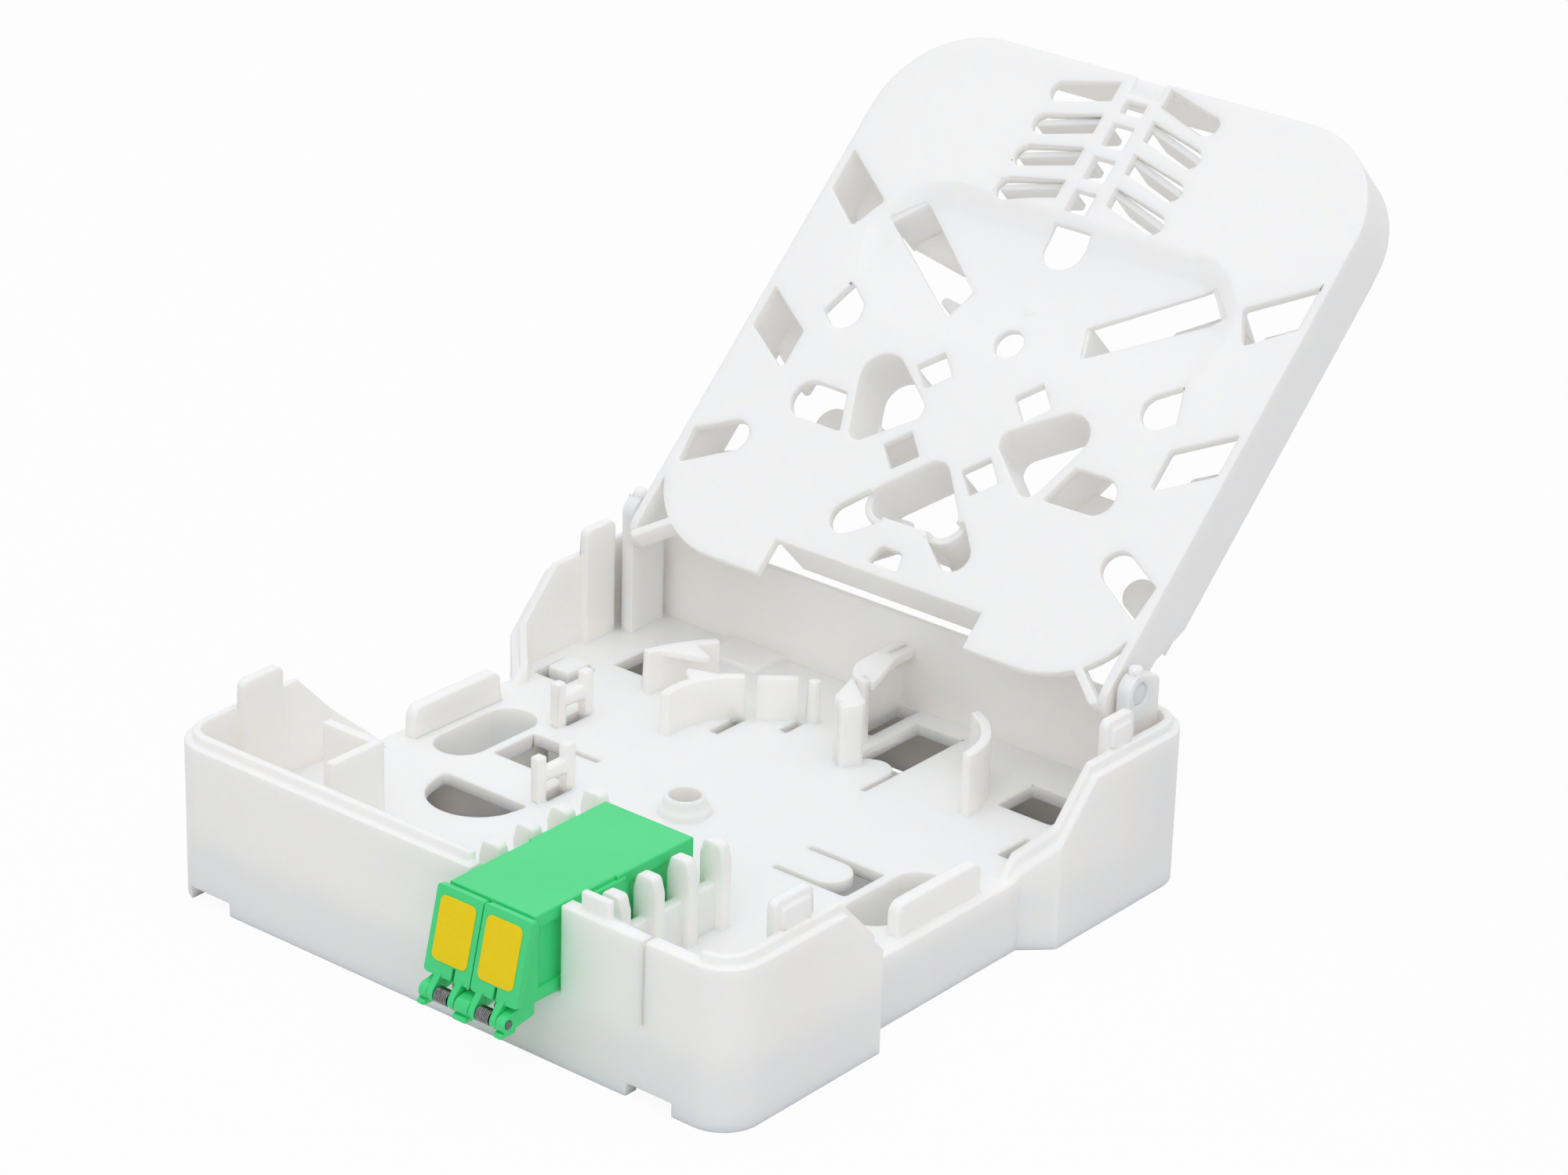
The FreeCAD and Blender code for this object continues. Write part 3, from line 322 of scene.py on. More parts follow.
@dataclass(frozen=True)
class Surface:
    """Points on a grid of rows and columns; every row is a closed ring."""

    points: np.ndarray
    weld: float = 1e-4 * MM

    def quads(self) -> np.ndarray:
        """Corners of the faces between neighbouring rows and columns.

        Returns:
            Four indices for each face.
        """
        rows, columns = self.points.shape[:2]
        row, column = np.arange(rows - 1)[:, None], np.arange(columns)[None, :]
        down, across = row + 1, (column + 1) % columns
        corners = (row * columns + column, row * columns + across, down * columns + across,
                   down * columns + column)
        return np.stack([corner.reshape(-1) for corner in corners], axis=1)

    def piece(self, name: str, body: Body, slot: Slot, finishes: Finishes) -> bpy.types.Object:
        """Turn the surface into a smooth mesh with its poles closed and its faces outwards.

        Args:
            name: Name of the new object.
            body: Body that it rides on.
            slot: Its material slot.
            finishes: Materials by slot.

        Returns:
            The new object.
        """
        mesh = bpy.data.meshes.new(name)
        mesh.from_pydata(self.points.reshape(-1, 3).tolist(), [], self.quads().tolist())
        shape = bmesh.new()
        shape.from_mesh(mesh)
        bmesh.ops.remove_doubles(shape, verts=shape.verts, dist=self.weld)
        bmesh.ops.recalc_face_normals(shape, faces=shape.faces)
        shape.to_mesh(mesh)
        shape.free()
        mesh.polygons.foreach_set("use_smooth", np.ones(len(mesh.polygons), dtype=bool))
        mesh.materials.append(finishes[slot])
        piece = bpy.data.objects.new(name, mesh)
        bpy.context.collection.objects.link(piece)
        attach(piece, body.value)
        return piece


def wire(path: np.ndarray, radius: float, sides: int = 10) -> Surface:
    """Round wire with closed ends, carried along a path that never runs along X.

    A circle stands across the path at each of its points: one of its axes is X less the part of
    X along the path, the other is square to both. The circle shrinks to a point at both ends.

    Args:
        path: Points along the middle of the wire, one row each.
        radius: Radius of the wire.
        sides: Corners of its section.

    Returns:
        The wire's skin.
    """
    along = np.gradient(path, axis=0)
    along /= np.linalg.norm(along, axis=1, keepdims=True)
    across = np.array([1.0, 0.0, 0.0]) - along * along[:, :1]
    across /= np.linalg.norm(across, axis=1, keepdims=True)
    other = np.cross(along, across)
    size = np.full(len(path) + 2, radius)
    size[[0, -1]] = 0.0
    rows = np.r_[0, np.arange(len(path)), len(path) - 1]
    turn = np.linspace(0.0, 2.0 * np.pi, sides, endpoint=False)
    ring = (across[rows, None] * np.cos(turn)[None, :, None]
            + other[rows, None] * np.sin(turn)[None, :, None])
    return Surface(path[rows, None] + ring * size[:, None, None])


def dress(node: str, slot: Slot, finishes: Finishes) -> None:
    """Give a CAD node its finish.

    Args:
        node: Name of the node.
        slot: Its material slot.
        finishes: Materials by slot.
    """
    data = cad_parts[node].data
    data.materials.clear()
    data.materials.append(finishes[slot])
    LOG.info("%s dressed in %s", node, slot.value)


@dataclass
class EdgeSet:
    """Edges of a mesh: their ends, which of them are hard, and the share of the radius on each."""

    ends: np.ndarray
    hard: np.ndarray
    weights: np.ndarray

    def keep_clear(self, torn: np.ndarray, reach: float) -> None:
        """Leave the edges near torn corners without a radius.

        Args:
            torn: Corners to keep clear of.
            reach: Distance within which edges lose their radius.
        """
        start, along = self.ends[:, 0], self.ends[:, 1] - self.ends[:, 0]
        length = np.maximum(np.einsum("ij,ij->i", along, along), TINY)
        for corner in torn:
            share = np.clip(np.einsum("ij,ij->i", corner - start, along) / length, 0.0, 1.0)
            gap = np.linalg.norm(start + along * share[:, None] - corner, axis=1)
            self.weights[gap < reach] = 0.0

    def bare(self) -> np.ndarray:
        """True for each hard edge that has no radius."""
        return self.hard & (self.weights == 0.0)


@dataclass
class RoundedSolid:
    """A moulded piece of the frame with the small edge radii of its mould.

    A rounded triangle is torn if it lies further from the solid than away_share of the radius,
    or if it lies on the solid but faces another way. The edges within clear_start radii of a torn
    corner lose their radius, and each further round reaches clear_step radii more.
    """

    node: str
    body: Body
    slot: Slot
    edge: float
    segments: int = 2
    sharp_deg: float = 32.0
    ridge_deg: float = 8.0
    ridge_area: float = 50.0 * MM * MM
    seam_y: float | None = None
    flat_deg: float = 0.6
    weld: float = 0.002 * MM
    steep_deg: float = 50.0
    fold_area: float = 0.5 * MM * MM
    rounds: int = 14
    clear_start: float = 1.1
    clear_step: float = 0.4
    away_share: float = 0.75
    touch_share: float = 0.02
    least_agree: float = 0.9
    least_turn: float = 2e-5 * MM * MM

    def reshape(self, shape: bmesh.types.BMesh) -> None:
        """Change the welded triangles before they are joined; a plain solid keeps its form."""

    def faces(self) -> tuple[bpy.types.Mesh, BVHTree, EdgeSet]:
        """Copy the solid's triangles, weld them and join the flat ones into whole faces.

        The edges to round are the sharp ones, and the gentle ridges that border a wide face;
        those of the seam with the other half stay sharp.

        Returns:
            The new mesh, its surface for measuring and its edges.
        """
        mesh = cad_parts[self.node].data.copy()
        mesh.name = self.node + "_rounded"
        shape = bmesh.new()
        shape.from_mesh(mesh)
        bmesh.ops.remove_doubles(shape, verts=shape.verts, dist=self.weld)
        self.reshape(shape)
        shape.normal_update()
        surface = BVHTree.FromBMesh(shape)
        bmesh.ops.dissolve_limit(shape, angle_limit=math.radians(self.flat_deg), verts=shape.verts,
                                 edges=shape.edges, use_dissolve_boundaries=False)
        ends = np.array([[corner.co for corner in edge.verts] for edge in shape.edges])
        angles = np.degrees([edge.calc_face_angle(0.0) for edge in shape.edges])
        convex = np.array([edge.is_convex for edge in shape.edges])
        areas = {face: face.calc_area() for face in shape.faces}
        widest = np.array([max(areas[face] for face in edge.link_faces) for edge in shape.edges])
        shape.to_mesh(mesh)
        shape.free()
        mesh.polygons.foreach_set("use_smooth", np.ones(len(mesh.polygons), dtype=bool))
        hard = angles > self.sharp_deg
        ridge = (angles > self.ridge_deg) & convex & (widest > self.ridge_area)
        edges = EdgeSet(ends, hard, (hard | ridge).astype(np.float32))
        if self.seam_y is not None:
            edges.weights[np.abs(ends[:, :, 1] - self.seam_y).max(axis=1) < self.weld] = 0.0
        return mesh, surface, edges

    def torn(self, piece: bpy.types.Object, surface: BVHTree) -> np.ndarray:
        """Corners of rounded triangles that left the solid's surface or turned over on it.

        Args:
            piece: The rounded piece.
            surface: Surface of the solid.

        Returns:
            The corners as rows of three coordinates.
        """
        graph = bpy.context.evaluated_depsgraph_get()
        done = piece.evaluated_get(graph)
        mesh = done.to_mesh()
        mesh.calc_loop_triangles()
        points = np.empty(len(mesh.vertices) * 3, dtype=np.float32)
        mesh.vertices.foreach_get("co", points)
        index = np.empty(len(mesh.loop_triangles) * 3, dtype=np.int32)
        mesh.loop_triangles.foreach_get("vertices", index)
        done.to_mesh_clear()
        corners = points.reshape(-1, 3)[index.reshape(-1, 3)]
        turn = np.cross(corners[:, 1] - corners[:, 0], corners[:, 2] - corners[:, 0])
        size = np.linalg.norm(turn, axis=1)
        nearest = [surface.find_nearest(Vector(middle)) for middle in corners.mean(axis=1)]
        gap = np.array([hit[3] for hit in nearest])
        facing = np.array([hit[1] for hit in nearest])
        agree = np.einsum("ij,ij->i", turn, facing) / np.maximum(size, TINY)
        away = gap > self.away_share * self.edge
        turned = (gap < self.touch_share * self.edge) & (agree < self.least_agree)
        return corners[(size > self.least_turn) & (away | turned)].reshape(-1, 3)

    def unfold(self, shape: bmesh.types.BMesh) -> None:
        """Split each face whose triangles fold over, from the corner of the fold.

        Args:
            shape: The rounded piece.
        """
        flat: dict[bmesh.types.BMFace, list[tuple[float, set[bmesh.types.BMVert]]]] = {}
        folded: list[tuple[bmesh.types.BMFace, set[bmesh.types.BMVert]]] = []
        for loops in shape.calc_loop_triangles():
            face, corners = loops[0].face, [loop.vert for loop in loops]
            turn = (corners[1].co - corners[0].co).cross(corners[2].co - corners[0].co)
            if turn.length > self.fold_area and turn.dot(face.normal) < 0.0:
                folded.append((face, set(corners)))
            else:
                flat.setdefault(face, []).append((turn.length, set(corners)))
        for face, corners in folded:
            beside = [item for item in flat.get(face, []) if len(item[1] & corners) == 2]
            if not beside:
                continue
            widest = max(beside, key=lambda item: item[0])[1]
            start, end = (corners - widest).pop(), (widest - corners).pop()
            joined = any(edge.other_vert(start) is end for edge in start.link_edges)
            if not joined and start in face.verts[:] and end in face.verts[:]:
                bmesh.utils.face_split(face, start, end)

    def settle(self, piece: bpy.types.Object) -> None:
        """Fix the rounding in the mesh, drop faces without area, mark steep edges sharp.

        A corner where a bare edge runs into rounded ones would otherwise share one normal
        between faces that stand square to each other.

        Args:
            piece: The rounded piece.
        """
        graph = bpy.context.evaluated_depsgraph_get()
        mesh = bpy.data.meshes.new_from_object(piece.evaluated_get(graph))
        mesh.name = piece.name
        shape = bmesh.new()
        shape.from_mesh(mesh)
        bmesh.ops.dissolve_degenerate(shape, edges=shape.edges, dist=self.weld)
        shape.normal_update()
        self.unfold(shape)
        for edge in shape.edges:
            if edge.calc_face_angle(math.pi) > math.radians(self.steep_deg):
                edge.smooth = False
        shape.to_mesh(mesh)
        shape.free()
        piece.modifiers.clear()
        piece.data = mesh

    def build(self, finishes: Finishes) -> bpy.types.Object:
        """Round the solid's edges and set the piece in its place.

        Args:
            finishes: Materials by slot.

        Returns:
            The piece that stands for the solid.
        """
        mesh, surface, edges = self.faces()
        piece = bpy.data.objects.new(mesh.name, mesh)
        bpy.context.collection.objects.link(piece)
        mesh.materials.clear()
        mesh.materials.append(finishes[self.slot])
        bevel = piece.modifiers.new("edge radii", "BEVEL")
        bevel.width = self.edge
        bevel.segments = self.segments
        bevel.limit_method = "WEIGHT"
        bevel.use_clamp_overlap = False
        share = mesh.attributes.new("bevel_weight_edge", "FLOAT", "EDGE")
        for turn in range(self.rounds):
            share.data.foreach_set("value", edges.weights)
            mesh.update()
            torn = self.torn(piece, surface)
            if not len(torn):
                break
            edges.keep_clear(torn, (self.clear_start + self.clear_step * turn) * self.edge)
        mesh.edges.foreach_set("use_edge_sharp", edges.bare())
        LOG.info("%s: %d edges rounded, %d left bare, %d torn corners", mesh.name,
                 int(edges.weights.sum()), int(edges.bare().sum()), len(torn))
        self.settle(piece)
        even = piece.modifiers.new("even faces", "WEIGHTED_NORMAL")
        even.keep_sharp = True
        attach(piece, self.body.value)
        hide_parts(self.node)
        dress(self.node, self.slot, finishes)
        return piece


@dataclass
class ShortTongue(RoundedSolid):
    """Base box whose left floor tongue ends where the photograph shows an open hole."""

    tip_x: float = -24.85 * MM
    straight_x: float = -22.1 * MM
    half_width: float = 2.75 * MM
    floor_low: float = 7.5 * MM
    floor_top: float = 9.3 * MM
    end_x: float = -20.0 * MM
    blunt: float = 0.28
    slack: float = 0.02 * MM

    def reshape(self, shape: bmesh.types.BMesh) -> None:
        """Move the tongue's round end towards its root and flatten its arc.

        Args:
            shape: Welded triangles of the box.
        """
        low = Vector((self.tip_x, -self.half_width, self.floor_low))
        high = Vector((self.straight_x, self.half_width, self.floor_top))
        for corner in shape.verts:
            if all(a - self.slack < v < b + self.slack for a, v, b in zip(low, corner.co, high)):
                corner.co.x = self.end_x + (corner.co.x - self.straight_x) * self.blunt


@dataclass
class FadedDish(RoundedSolid):
    """Tray whose dish is deepest at its far end and has run out a third of the way down."""

    datum_y: float = 35.577 * MM
    datum_z: float = 28.818 * MM
    lean_deg: float = 43.514
    dish_half: float = 27.8 * MM
    dish_far: float = 51.9 * MM
    floor_far: float = 48.5 * MM
    fade_end: float = 31.0 * MM
    dish_depth: float = 1.0 * MM
    far_depth: float = 1.5 * MM
    plate: float = 1.4 * MM
    bulge: float = 0.6 * MM
    flat_deg: float = 1.0
    slack: float = 0.01 * MM

    @property
    def datum(self) -> Vector:
        """Point on the tray's plate that its distances start from."""
        return Vector((0.0, self.datum_y, self.datum_z))

    @property
    def along(self) -> Vector:
        """Direction along the tray, away from the hinge."""
        lean = math.radians(self.lean_deg)
        return Vector((0.0, math.cos(lean), math.sin(lean)))

    @property
    def out(self) -> Vector:
        """Direction square to the tray's plate, towards its front."""
        lean = math.radians(self.lean_deg)
        return Vector((0.0, -math.sin(lean), math.cos(lean)))

    def place(self, corner: bmesh.types.BMVert) -> tuple[float, float]:
        """Distance of a corner along the tray, and its level above the plate."""
        from_datum = corner.co - self.datum
        return from_datum.dot(self.along), from_datum.dot(self.out)

    def in_dish(self, corner: bmesh.types.BMVert) -> bool:
        """Tell whether a corner lies within the dish or the bulge behind it.

        Args:
            corner: Corner of the tray.

        Returns:
            True within the outline of the dish, from the plate's front to the bulge's back.
        """
        reach, level = self.place(corner)
        lowest = -self.plate - self.bulge - self.slack
        return (abs(corner.co.x) < self.dish_half + self.slack
                and reach < self.dish_far + self.slack and lowest < level < self.slack)

    def reshape(self, shape: bmesh.types.BMesh) -> None:
        """Scale the dish's depth, and the bulge behind it, from nothing at fade_end to full.

        The share grows evenly along the tray from fade_end to the far end of the dish's floor,
        so that the floor stays flat on either side of a cut at fade_end.

        Args:
            shape: Welded triangles of the tray.
        """
        along, out = self.along, self.out
        faces = [face for face in shape.faces if all(map(self.in_dish, face.verts))]
        edges = list(dict.fromkeys(edge for face in faces for edge in face.edges))
        corners = list(dict.fromkeys(corner for face in faces for corner in face.verts))
        bmesh.ops.bisect_plane(shape, geom=corners + edges + faces, dist=self.slack,
                               plane_co=self.datum + along * self.fade_end, plane_no=along)
        for corner in filter(self.in_dish, shape.verts):
            reach, level = self.place(corner)
            share = (reach - self.fade_end) / (self.floor_far - self.fade_end)
            share = min(max(share, 0.0), 1.0)
            if -self.dish_depth - self.slack < level < -self.slack:
                corner.co += out * level * (share * self.far_depth / self.dish_depth - 1.0)
            elif -self.plate - self.bulge - self.slack < level < -self.plate - self.slack:
                corner.co += out * (level + self.plate) * (share - 1.0)
        bmesh.ops.remove_doubles(shape, verts=shape.verts, dist=self.weld)
        bmesh.ops.dissolve_degenerate(shape, edges=shape.edges, dist=self.weld)


@dataclass
class BaseBox:
    """Moulded base box that screws to the wall."""

    edge: float = 0.25 * MM

    def build(self, finishes: Finishes) -> list[bpy.types.Object]:
        """Build the box.

        Args:
            finishes: Materials by slot.

        Returns:
            The piece.
        """
        return [ShortTongue("base_housing", Body.BASE, Slot.WHITE, self.edge).build(finishes)]


@dataclass
class SpliceTray:
    """Hinged tray that holds the fibre loops and splices."""

    edge: float = 0.22 * MM

    def build(self, finishes: Finishes) -> list[bpy.types.Object]:
        """Build the tray.

        Args:
            finishes: Materials by slot.

        Returns:
            The piece.
        """
        return [FadedDish("splice_tray", Body.TRAY, Slot.WHITE, self.edge).build(finishes)]


@dataclass
class DuplexAdapter:
    """Two green halves joined round the ceramic sleeves, and the pin of the shutters."""

    edge: float = 0.2 * MM
    seam_y: float = -32.9 * MM

    def build(self, finishes: Finishes) -> list[bpy.types.Object]:
        """Build the halves and dress what lies inside them.

        Args:
            finishes: Materials by slot.

        Returns:
            The pieces.
        """
        for side in Side:
            dress("alignment_sleeve_" + side.word, Slot.CERAMIC, finishes)
        dress("shutter_pin", Slot.STEEL, finishes)
        halves = (RoundedSolid(f"adapter_{end}_housing", Body.BASE, Slot.GREEN, self.edge,
                               seam_y=self.seam_y) for end in ("front", "rear"))
        return [half.build(finishes) for half in halves]


@dataclass
class SpringShutter:
    """One flip-down shutter with its film label, close-wound spring and the spring's leg."""

    side: Side
    edge: float = 0.09 * MM
    middle_x: float = 11.75 * MM
    port_pitch: float = 6.25 * MM
    pivot_y: float = -50.2 * MM
    pivot_z: float = 8.3 * MM
    lean_deg: float = -13.9
    film_width: float = 5.25 * MM
    film_low: float = 3.6 * MM
    film_high: float = 11.1 * MM
    film_corner: float = 0.8 * MM
    film_thick: float = 0.12 * MM
    film_shift: float = 0.3 * MM
    film_profile: tuple[tuple[float, float], ...] = (
        (0.0, 1.0), (0.6, 1.0), (0.97, 1.0), (0.995, 0.85), (1.0, 0.6), (1.0, 0.0), (0.0, 0.0))
    corner_points: int = 9
    coil_radius: float = 0.86 * MM
    coil_half: float = 0.95 * MM
    coil_turns: float = 8.0
    turn_points: int = 28
    end_far: float = 1.1 * MM
    end_near: float = 0.08 * MM
    end_points: int = 8
    wire_radius: float = 0.11 * MM
    leg_x: float = 0.5 * MM
    leg_depth: float = 0.42 * MM
    leg_low: float = 1.15 * MM
    leg_top: float = 3.25 * MM
    leg_points: int = 12

    @property
    def port_x(self) -> float:
        """Middle of the port behind this shutter."""
        return self.middle_x + self.port_pitch * self.side.value / 2.0

    def leaned(self, points: np.ndarray) -> np.ndarray:
        """Turn points of the upright shutter by its lean and set them on the pin.

        Args:
            points: Points with X from the port's middle, Y inwards and Z upwards from the pin.

        Returns:
            The points in the frame.
        """
        lean = math.radians(self.lean_deg)
        x, y, z = np.moveaxis(points, -1, 0)
        turned_y = y * math.cos(lean) - z * math.sin(lean)
        turned_z = y * math.sin(lean) + z * math.cos(lean)
        return np.stack([x + self.port_x, turned_y + self.pivot_y, turned_z + self.pivot_z], axis=-1)

    def film(self) -> Surface:
        """Label film: its rounded outline shrinks to the middle and rolls over at the edge.

        Each row goes round the outline, four quarter circles one after the other. The rows go
        from the middle of the face to its edge, down the edge and back below the film: the
        profile gives each row's share of the outline and of the film's thickness.

        Returns:
            The film's skin.
        """
        turn = np.linspace(0.0, 0.5 * np.pi, self.corner_points)
        corner = np.array([0.0, 0.5, 1.0, 1.5]) * np.pi
        angle = (corner[:, None] + turn[None, :]).reshape(-1)
        sign_x = np.repeat([1.0, -1.0, -1.0, 1.0], len(turn))
        sign_z = np.repeat([1.0, 1.0, -1.0, -1.0], len(turn))
        half_x = self.film_width / 2.0
        half_z = (self.film_high - self.film_low) / 2.0
        scale, proud = np.array(self.film_profile).T[:, :, None]
        x = sign_x * (half_x - self.film_corner) + self.film_corner * np.cos(angle)
        z = sign_z * (half_z - self.film_corner) + self.film_corner * np.sin(angle)
        middle_z = (self.film_low + self.film_high) / 2.0
        points = np.stack(np.broadcast_arrays(
            scale * x + self.film_shift * self.side.value, -self.film_thick * proud + 0.0 * x,
            scale * z + middle_z), axis=-1)
        return Surface(self.leaned(points))

    def coil(self) -> Surface:
        """Close-wound coil round the pin, with a short end that runs back to the adapter.

        The path turns round X at one radius while it moves along X by the wire's thickness and a
        little more each turn; its first stretch is the tangent of the lowest point.

        Returns:
            The wire's skin.
        """
        turn = np.linspace(0.0, self.coil_turns, int(self.coil_turns * self.turn_points))
        angle = 2.0 * np.pi * turn
        x = self.port_x + self.coil_half * (2.0 * turn / self.coil_turns - 1.0)
        wound = np.stack([x, self.pivot_y - self.coil_radius * np.sin(angle),
                          self.pivot_z - self.coil_radius * np.cos(angle)], axis=-1)
        back = np.linspace(self.end_far, self.end_near, self.end_points)
        low = self.pivot_z - self.coil_radius
        end = np.stack(np.broadcast_arrays(x[0], self.pivot_y + back, low), axis=-1)
        return wire(np.concatenate([end, wound]), self.wire_radius)

    def leg(self) -> Surface:
        """Leg of the spring, straight up in the shutter's slot from just above the coil.

        Returns:
            The wire's skin.
        """
        rise = np.linspace(self.leg_low, self.leg_top, self.leg_points)
        path = np.stack(np.broadcast_arrays(self.leg_x, self.leg_depth, rise), axis=-1)
        return wire(self.leaned(path), self.wire_radius)

    def build(self, finishes: Finishes) -> list[bpy.types.Object]:
        """Build the shutter, its film and its spring.

        Args:
            finishes: Materials by slot.

        Returns:
            The pieces.
        """
        word, body = self.side.word, self.side.body
        plate = RoundedSolid("shutter_" + word, body, Slot.GREEN, self.edge).build(finishes)
        film = self.film().piece("label_film_" + word, body, Slot.YELLOW, finishes)
        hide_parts("shutter_label_" + word)
        dress("shutter_label_" + word, Slot.YELLOW, finishes)
        coil = self.coil().piece("spring_coil_" + word, Body.BASE, Slot.STEEL, finishes)
        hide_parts("shutter_spring_" + word)
        dress("shutter_spring_" + word, Slot.STEEL, finishes)
        leg = self.leg().piece("spring_leg_" + word, body, Slot.STEEL, finishes)
        return [plate, film, coil, leg]


@dataclass
class Studio:
    """Pale floor, soft light and the photograph's camera."""

    azimuth_deg: float = 39.06
    elevation_deg: float = 24.339
    roll_deg: float = 1.649
    focal_px: float = 6286.709
    frame_px: float = 2000.0
    target_mm: Axes = (-11.95, 34.92, 585.1)
    sensor_mm: float = 36.0
    clip_start: float = 0.01
    sky_low: float = 0.32
    sky_high: float = 1.08
    key_place: Axes = (0.05, -0.10, 1.20)
    key_side: float = 0.8
    key_watts: float = 1.8
    fill_place: Axes = (0.66, -0.81, 0.60)
    fill_side: float = 1.0
    fill_watts: float = 1.8
    lamp_aim: Axes = (0.0, 0.015, 0.03)
    light_tint: Colour = (1.000, 0.998, 1.005)
    floor_side: float = 3.0
    paper_pale: Colour = (0.79, 0.79, 0.79)
    paper_deep: Colour = (0.77, 0.77, 0.77)
    paper_roughness: float = 0.9
    paper_scale: float = 3.0
    paper_detail: float = 1.0
    floor_glow: float = 0.94
    # painted shade: below the box the floor's glow falls to this level, in a rectangle of these half
    # sizes
    painted_shade_glow: float = 0.30
    painted_shade_half_x: float = 37.4 * MM
    painted_shade_half_y: float = 40.0 * MM

    def camera(self) -> bpy.types.Object:
        """Camera fitted to the photograph.

        The rows of the view are right, up and back; the frame's origin lies at target_mm in
        axes that point right, down and forwards.

        Returns:
            The camera.
        """
        a, e, r = (math.radians(v) for v in (self.azimuth_deg, self.elevation_deg, self.roll_deg))
        back = Vector((math.sin(a) * math.cos(e), -math.cos(a) * math.cos(e), math.sin(e)))
        right = (-back).cross(Vector((0, 0, 1))).normalized()
        up = right.cross(-back)
        right, up = (math.cos(r) * right + math.sin(r) * up, -math.sin(r) * right + math.cos(r) * up)
        across, down, ahead = (v * MM for v in self.target_mm)
        place = -(right * across - up * down - back * ahead)
        data = bpy.data.cameras.new("photo camera")
        data.sensor_width = self.sensor_mm
        data.sensor_fit = "HORIZONTAL"
        data.lens = self.focal_px / self.frame_px * self.sensor_mm
        data.clip_start = self.clip_start
        camera = bpy.data.objects.new("photo camera", data)
        turn = Matrix((right, up, back)).transposed().to_4x4()
        camera.matrix_world = Matrix.Translation(place) @ turn
        bpy.context.collection.objects.link(camera)
        bpy.context.scene.camera = camera
        return camera

    def lamp(self, name: str, place: Vector, size: float, power: float) -> bpy.types.Object:
        """Square soft lamp that faces the object.

        Args:
            name: Name of the lamp.
            place: Its middle in metres.
            size: Its side in metres.
            power: Its power in watts.

        Returns:
            The lamp.
        """
        data = bpy.data.lights.new(name, "AREA")
        data.size = size
        data.energy = power
        data.color = self.light_tint
        lamp = bpy.data.objects.new(name, data)
        turn = (Vector(self.lamp_aim) - place).to_track_quat("-Z", "Y").to_matrix().to_4x4()
        lamp.matrix_world = Matrix.Translation(place) @ turn
        bpy.context.collection.objects.link(lamp)
        return lamp

    def seen(self, tree: bpy.types.NodeTree) -> bpy.types.NodeSocket:
        """One for the rays that show the background: straight, mirrored or through glass.

        Args:
            tree: Node tree to add to.

        Returns:
            The socket that is one for those rays.
        """
        path = tree.nodes.new("ShaderNodeLightPath")
        total = path.outputs["Is Camera Ray"]
        for name in ("Is Glossy Ray", "Is Transmission Ray"):
            either = tree.nodes.new("ShaderNodeMath")
            either.operation = "MAXIMUM"
            tree.links.new(total, either.inputs[0])
            tree.links.new(path.outputs[name], either.inputs[1])
            total = either.outputs["Value"]
        return total

    def world(self) -> None:
        """Pale light from all round, stronger from above; the background itself is white."""
        world = bpy.data.worlds.new("studio")
        bpy.context.scene.world = world
        world.use_nodes = True
        tree = world.node_tree
        back = tree.nodes["Background"]
        back.inputs["Strength"].default_value = 1.0
        place = tree.nodes.new("ShaderNodeTexCoord")
        split = tree.nodes.new("ShaderNodeSeparateXYZ")
        tree.links.new(place.outputs["Generated"], split.inputs["Vector"])
        rise = tree.nodes.new("ShaderNodeMapRange")
        rise.inputs["To Min"].default_value = self.sky_low
        rise.inputs["To Max"].default_value = self.sky_high
        tree.links.new(split.outputs["Z"], rise.inputs["Value"])
        tint = tree.nodes.new("ShaderNodeVectorMath")
        tint.operation = "SCALE"
        tint.inputs[0].default_value = self.light_tint
        tree.links.new(rise.outputs["Result"], tint.inputs["Scale"])
        level = tree.nodes.new("ShaderNodeMixRGB")
        level.inputs["Color2"].default_value = rgba(WHITE_LIGHT)
        tree.links.new(self.seen(tree), level.inputs["Fac"])
        tree.links.new(tint.outputs["Vector"], level.inputs["Color1"])
        tree.links.new(level.outputs["Color"], back.inputs["Color"])

    def glow_with_painted_shade(self, sheet: NodeSheet) -> bpy.types.NodeSocket:
        """Glow of the floor: full in the open, and low below the box as painted shade, where the box
        keeps the light away.

        Args:
            sheet: Node sheet of the floor.

        Returns:
            The socket with the glow.
        """
        place = sheet.add("ShaderNodeTexCoord")
        split = sheet.add("ShaderNodeSeparateXYZ")
        sheet.join(place.outputs["Object"], split.inputs["Vector"])
        # painted shade: one inside the box's footprint, nought outside; it lowers the glow there
        below = sheet.add("ShaderNodeMath", operation="MULTIPLY")
        for slot, (axis, half) in enumerate((("X", self.painted_shade_half_x), ("Y", self.painted_shade_half_y))):
            size = sheet.add("ShaderNodeMath", operation="ABSOLUTE")
            sheet.join(split.outputs[axis], size.inputs[0])
            inside = sheet.add("ShaderNodeMath", operation="LESS_THAN")
            inside.inputs[1].default_value = half
            sheet.join(size.outputs["Value"], inside.inputs[0])
            sheet.join(inside.outputs["Value"], below.inputs[slot])
        return sheet.span(below.outputs["Value"], self.floor_glow, self.painted_shade_glow)

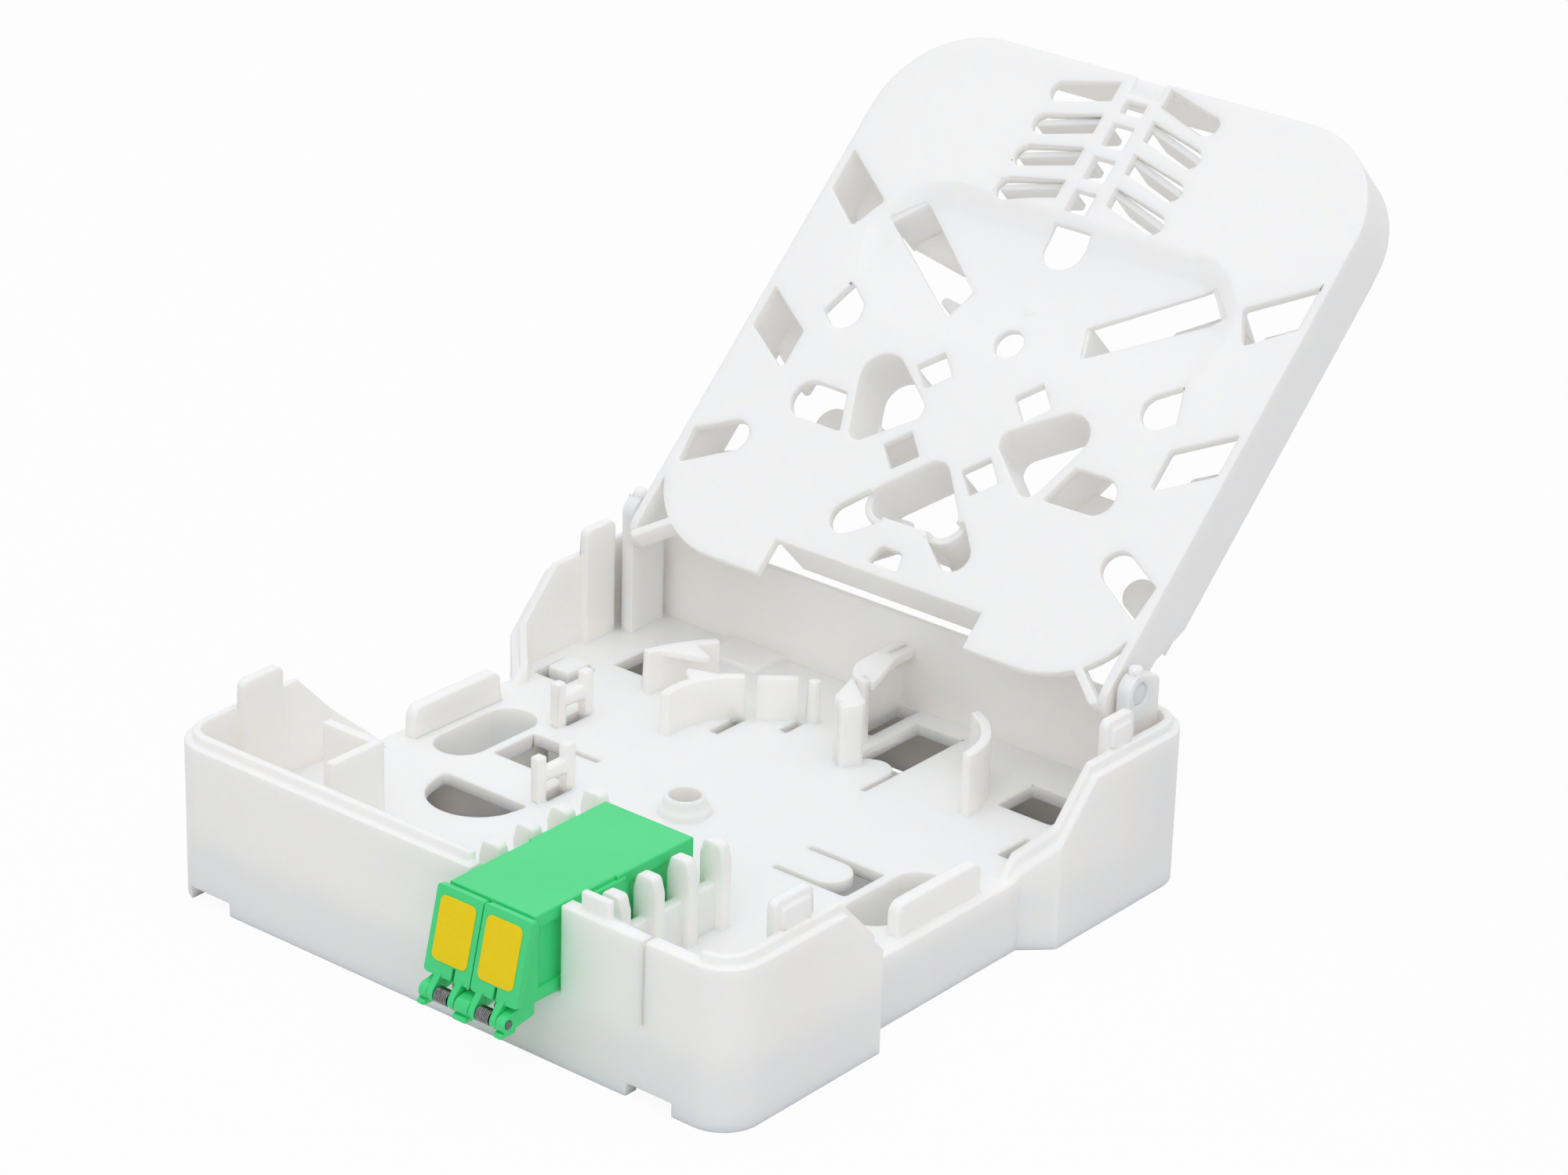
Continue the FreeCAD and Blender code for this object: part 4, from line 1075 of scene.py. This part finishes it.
    def floor(self) -> bpy.types.Object:
        """White floor that keeps the object's soft shadow, with a painted shade below the box.

        Returns:
            The floor.
        """
        mesh = bpy.data.meshes.new("floor")
        corners = np.array([[-1, -1, 0], [1, -1, 0], [1, 1, 0], [-1, 1, 0]]) * self.floor_side
        mesh.from_pydata(corners.tolist(), [], [(0, 1, 2, 3)])
        floor = bpy.data.objects.new("floor", mesh)
        bpy.context.collection.objects.link(floor)
        sheet = NodeSheet("floor paper")
        cloud = sheet.noise(self.paper_scale, self.paper_detail)
        paper = sheet.ramp(cloud, self.paper_deep, self.paper_pale)
        sheet.join(paper, sheet.shader.inputs["Base Color"])
        sheet.set(Roughness=self.paper_roughness, Specular_IOR_Level=0.0)
        glow = sheet.add("ShaderNodeEmission")
        glow.inputs["Color"].default_value = rgba(WHITE_LIGHT)
        share = sheet.add("ShaderNodeMath", operation="MULTIPLY")
        sheet.join(self.seen(sheet.tree), share.inputs[0])
        sheet.join(self.glow_with_painted_shade(sheet), share.inputs[1])
        mix = sheet.add("ShaderNodeMixShader")
        sheet.join(share.outputs["Value"], mix.inputs["Fac"])
        sheet.join(sheet.shader.outputs["BSDF"], mix.inputs[1])
        sheet.join(glow.outputs["Emission"], mix.inputs[2])
        sheet.join(mix.outputs["Shader"], sheet.tree.nodes["Material Output"].inputs["Surface"])
        mesh.materials.append(sheet.material)
        return floor

    def build(self) -> None:
        """Set up the view, the floor, the lamps and the camera."""
        bpy.context.scene.view_settings.view_transform = "Standard"
        self.floor()
        self.world()
        self.lamp("key", Vector(self.key_place), self.key_side, self.key_watts)
        self.lamp("fill", Vector(self.fill_place), self.fill_side, self.fill_watts)
        self.camera()


def main() -> None:
    """Build the sub-assemblies in order."""
    logging.basicConfig(level=logging.INFO)
    finishes = {slot: finish.material() for slot, finish in FINISHES.items()}
    assemblies = (BaseBox(), SpliceTray(), DuplexAdapter(), SpringShutter(Side.LEFT),
                  SpringShutter(Side.RIGHT))
    for assembly in assemblies:
        for piece in assembly.build(finishes):
            LOG.info("%s: %s", type(assembly).__name__, piece.name)
    Studio().build()


if __name__ == "__main__":
    main()
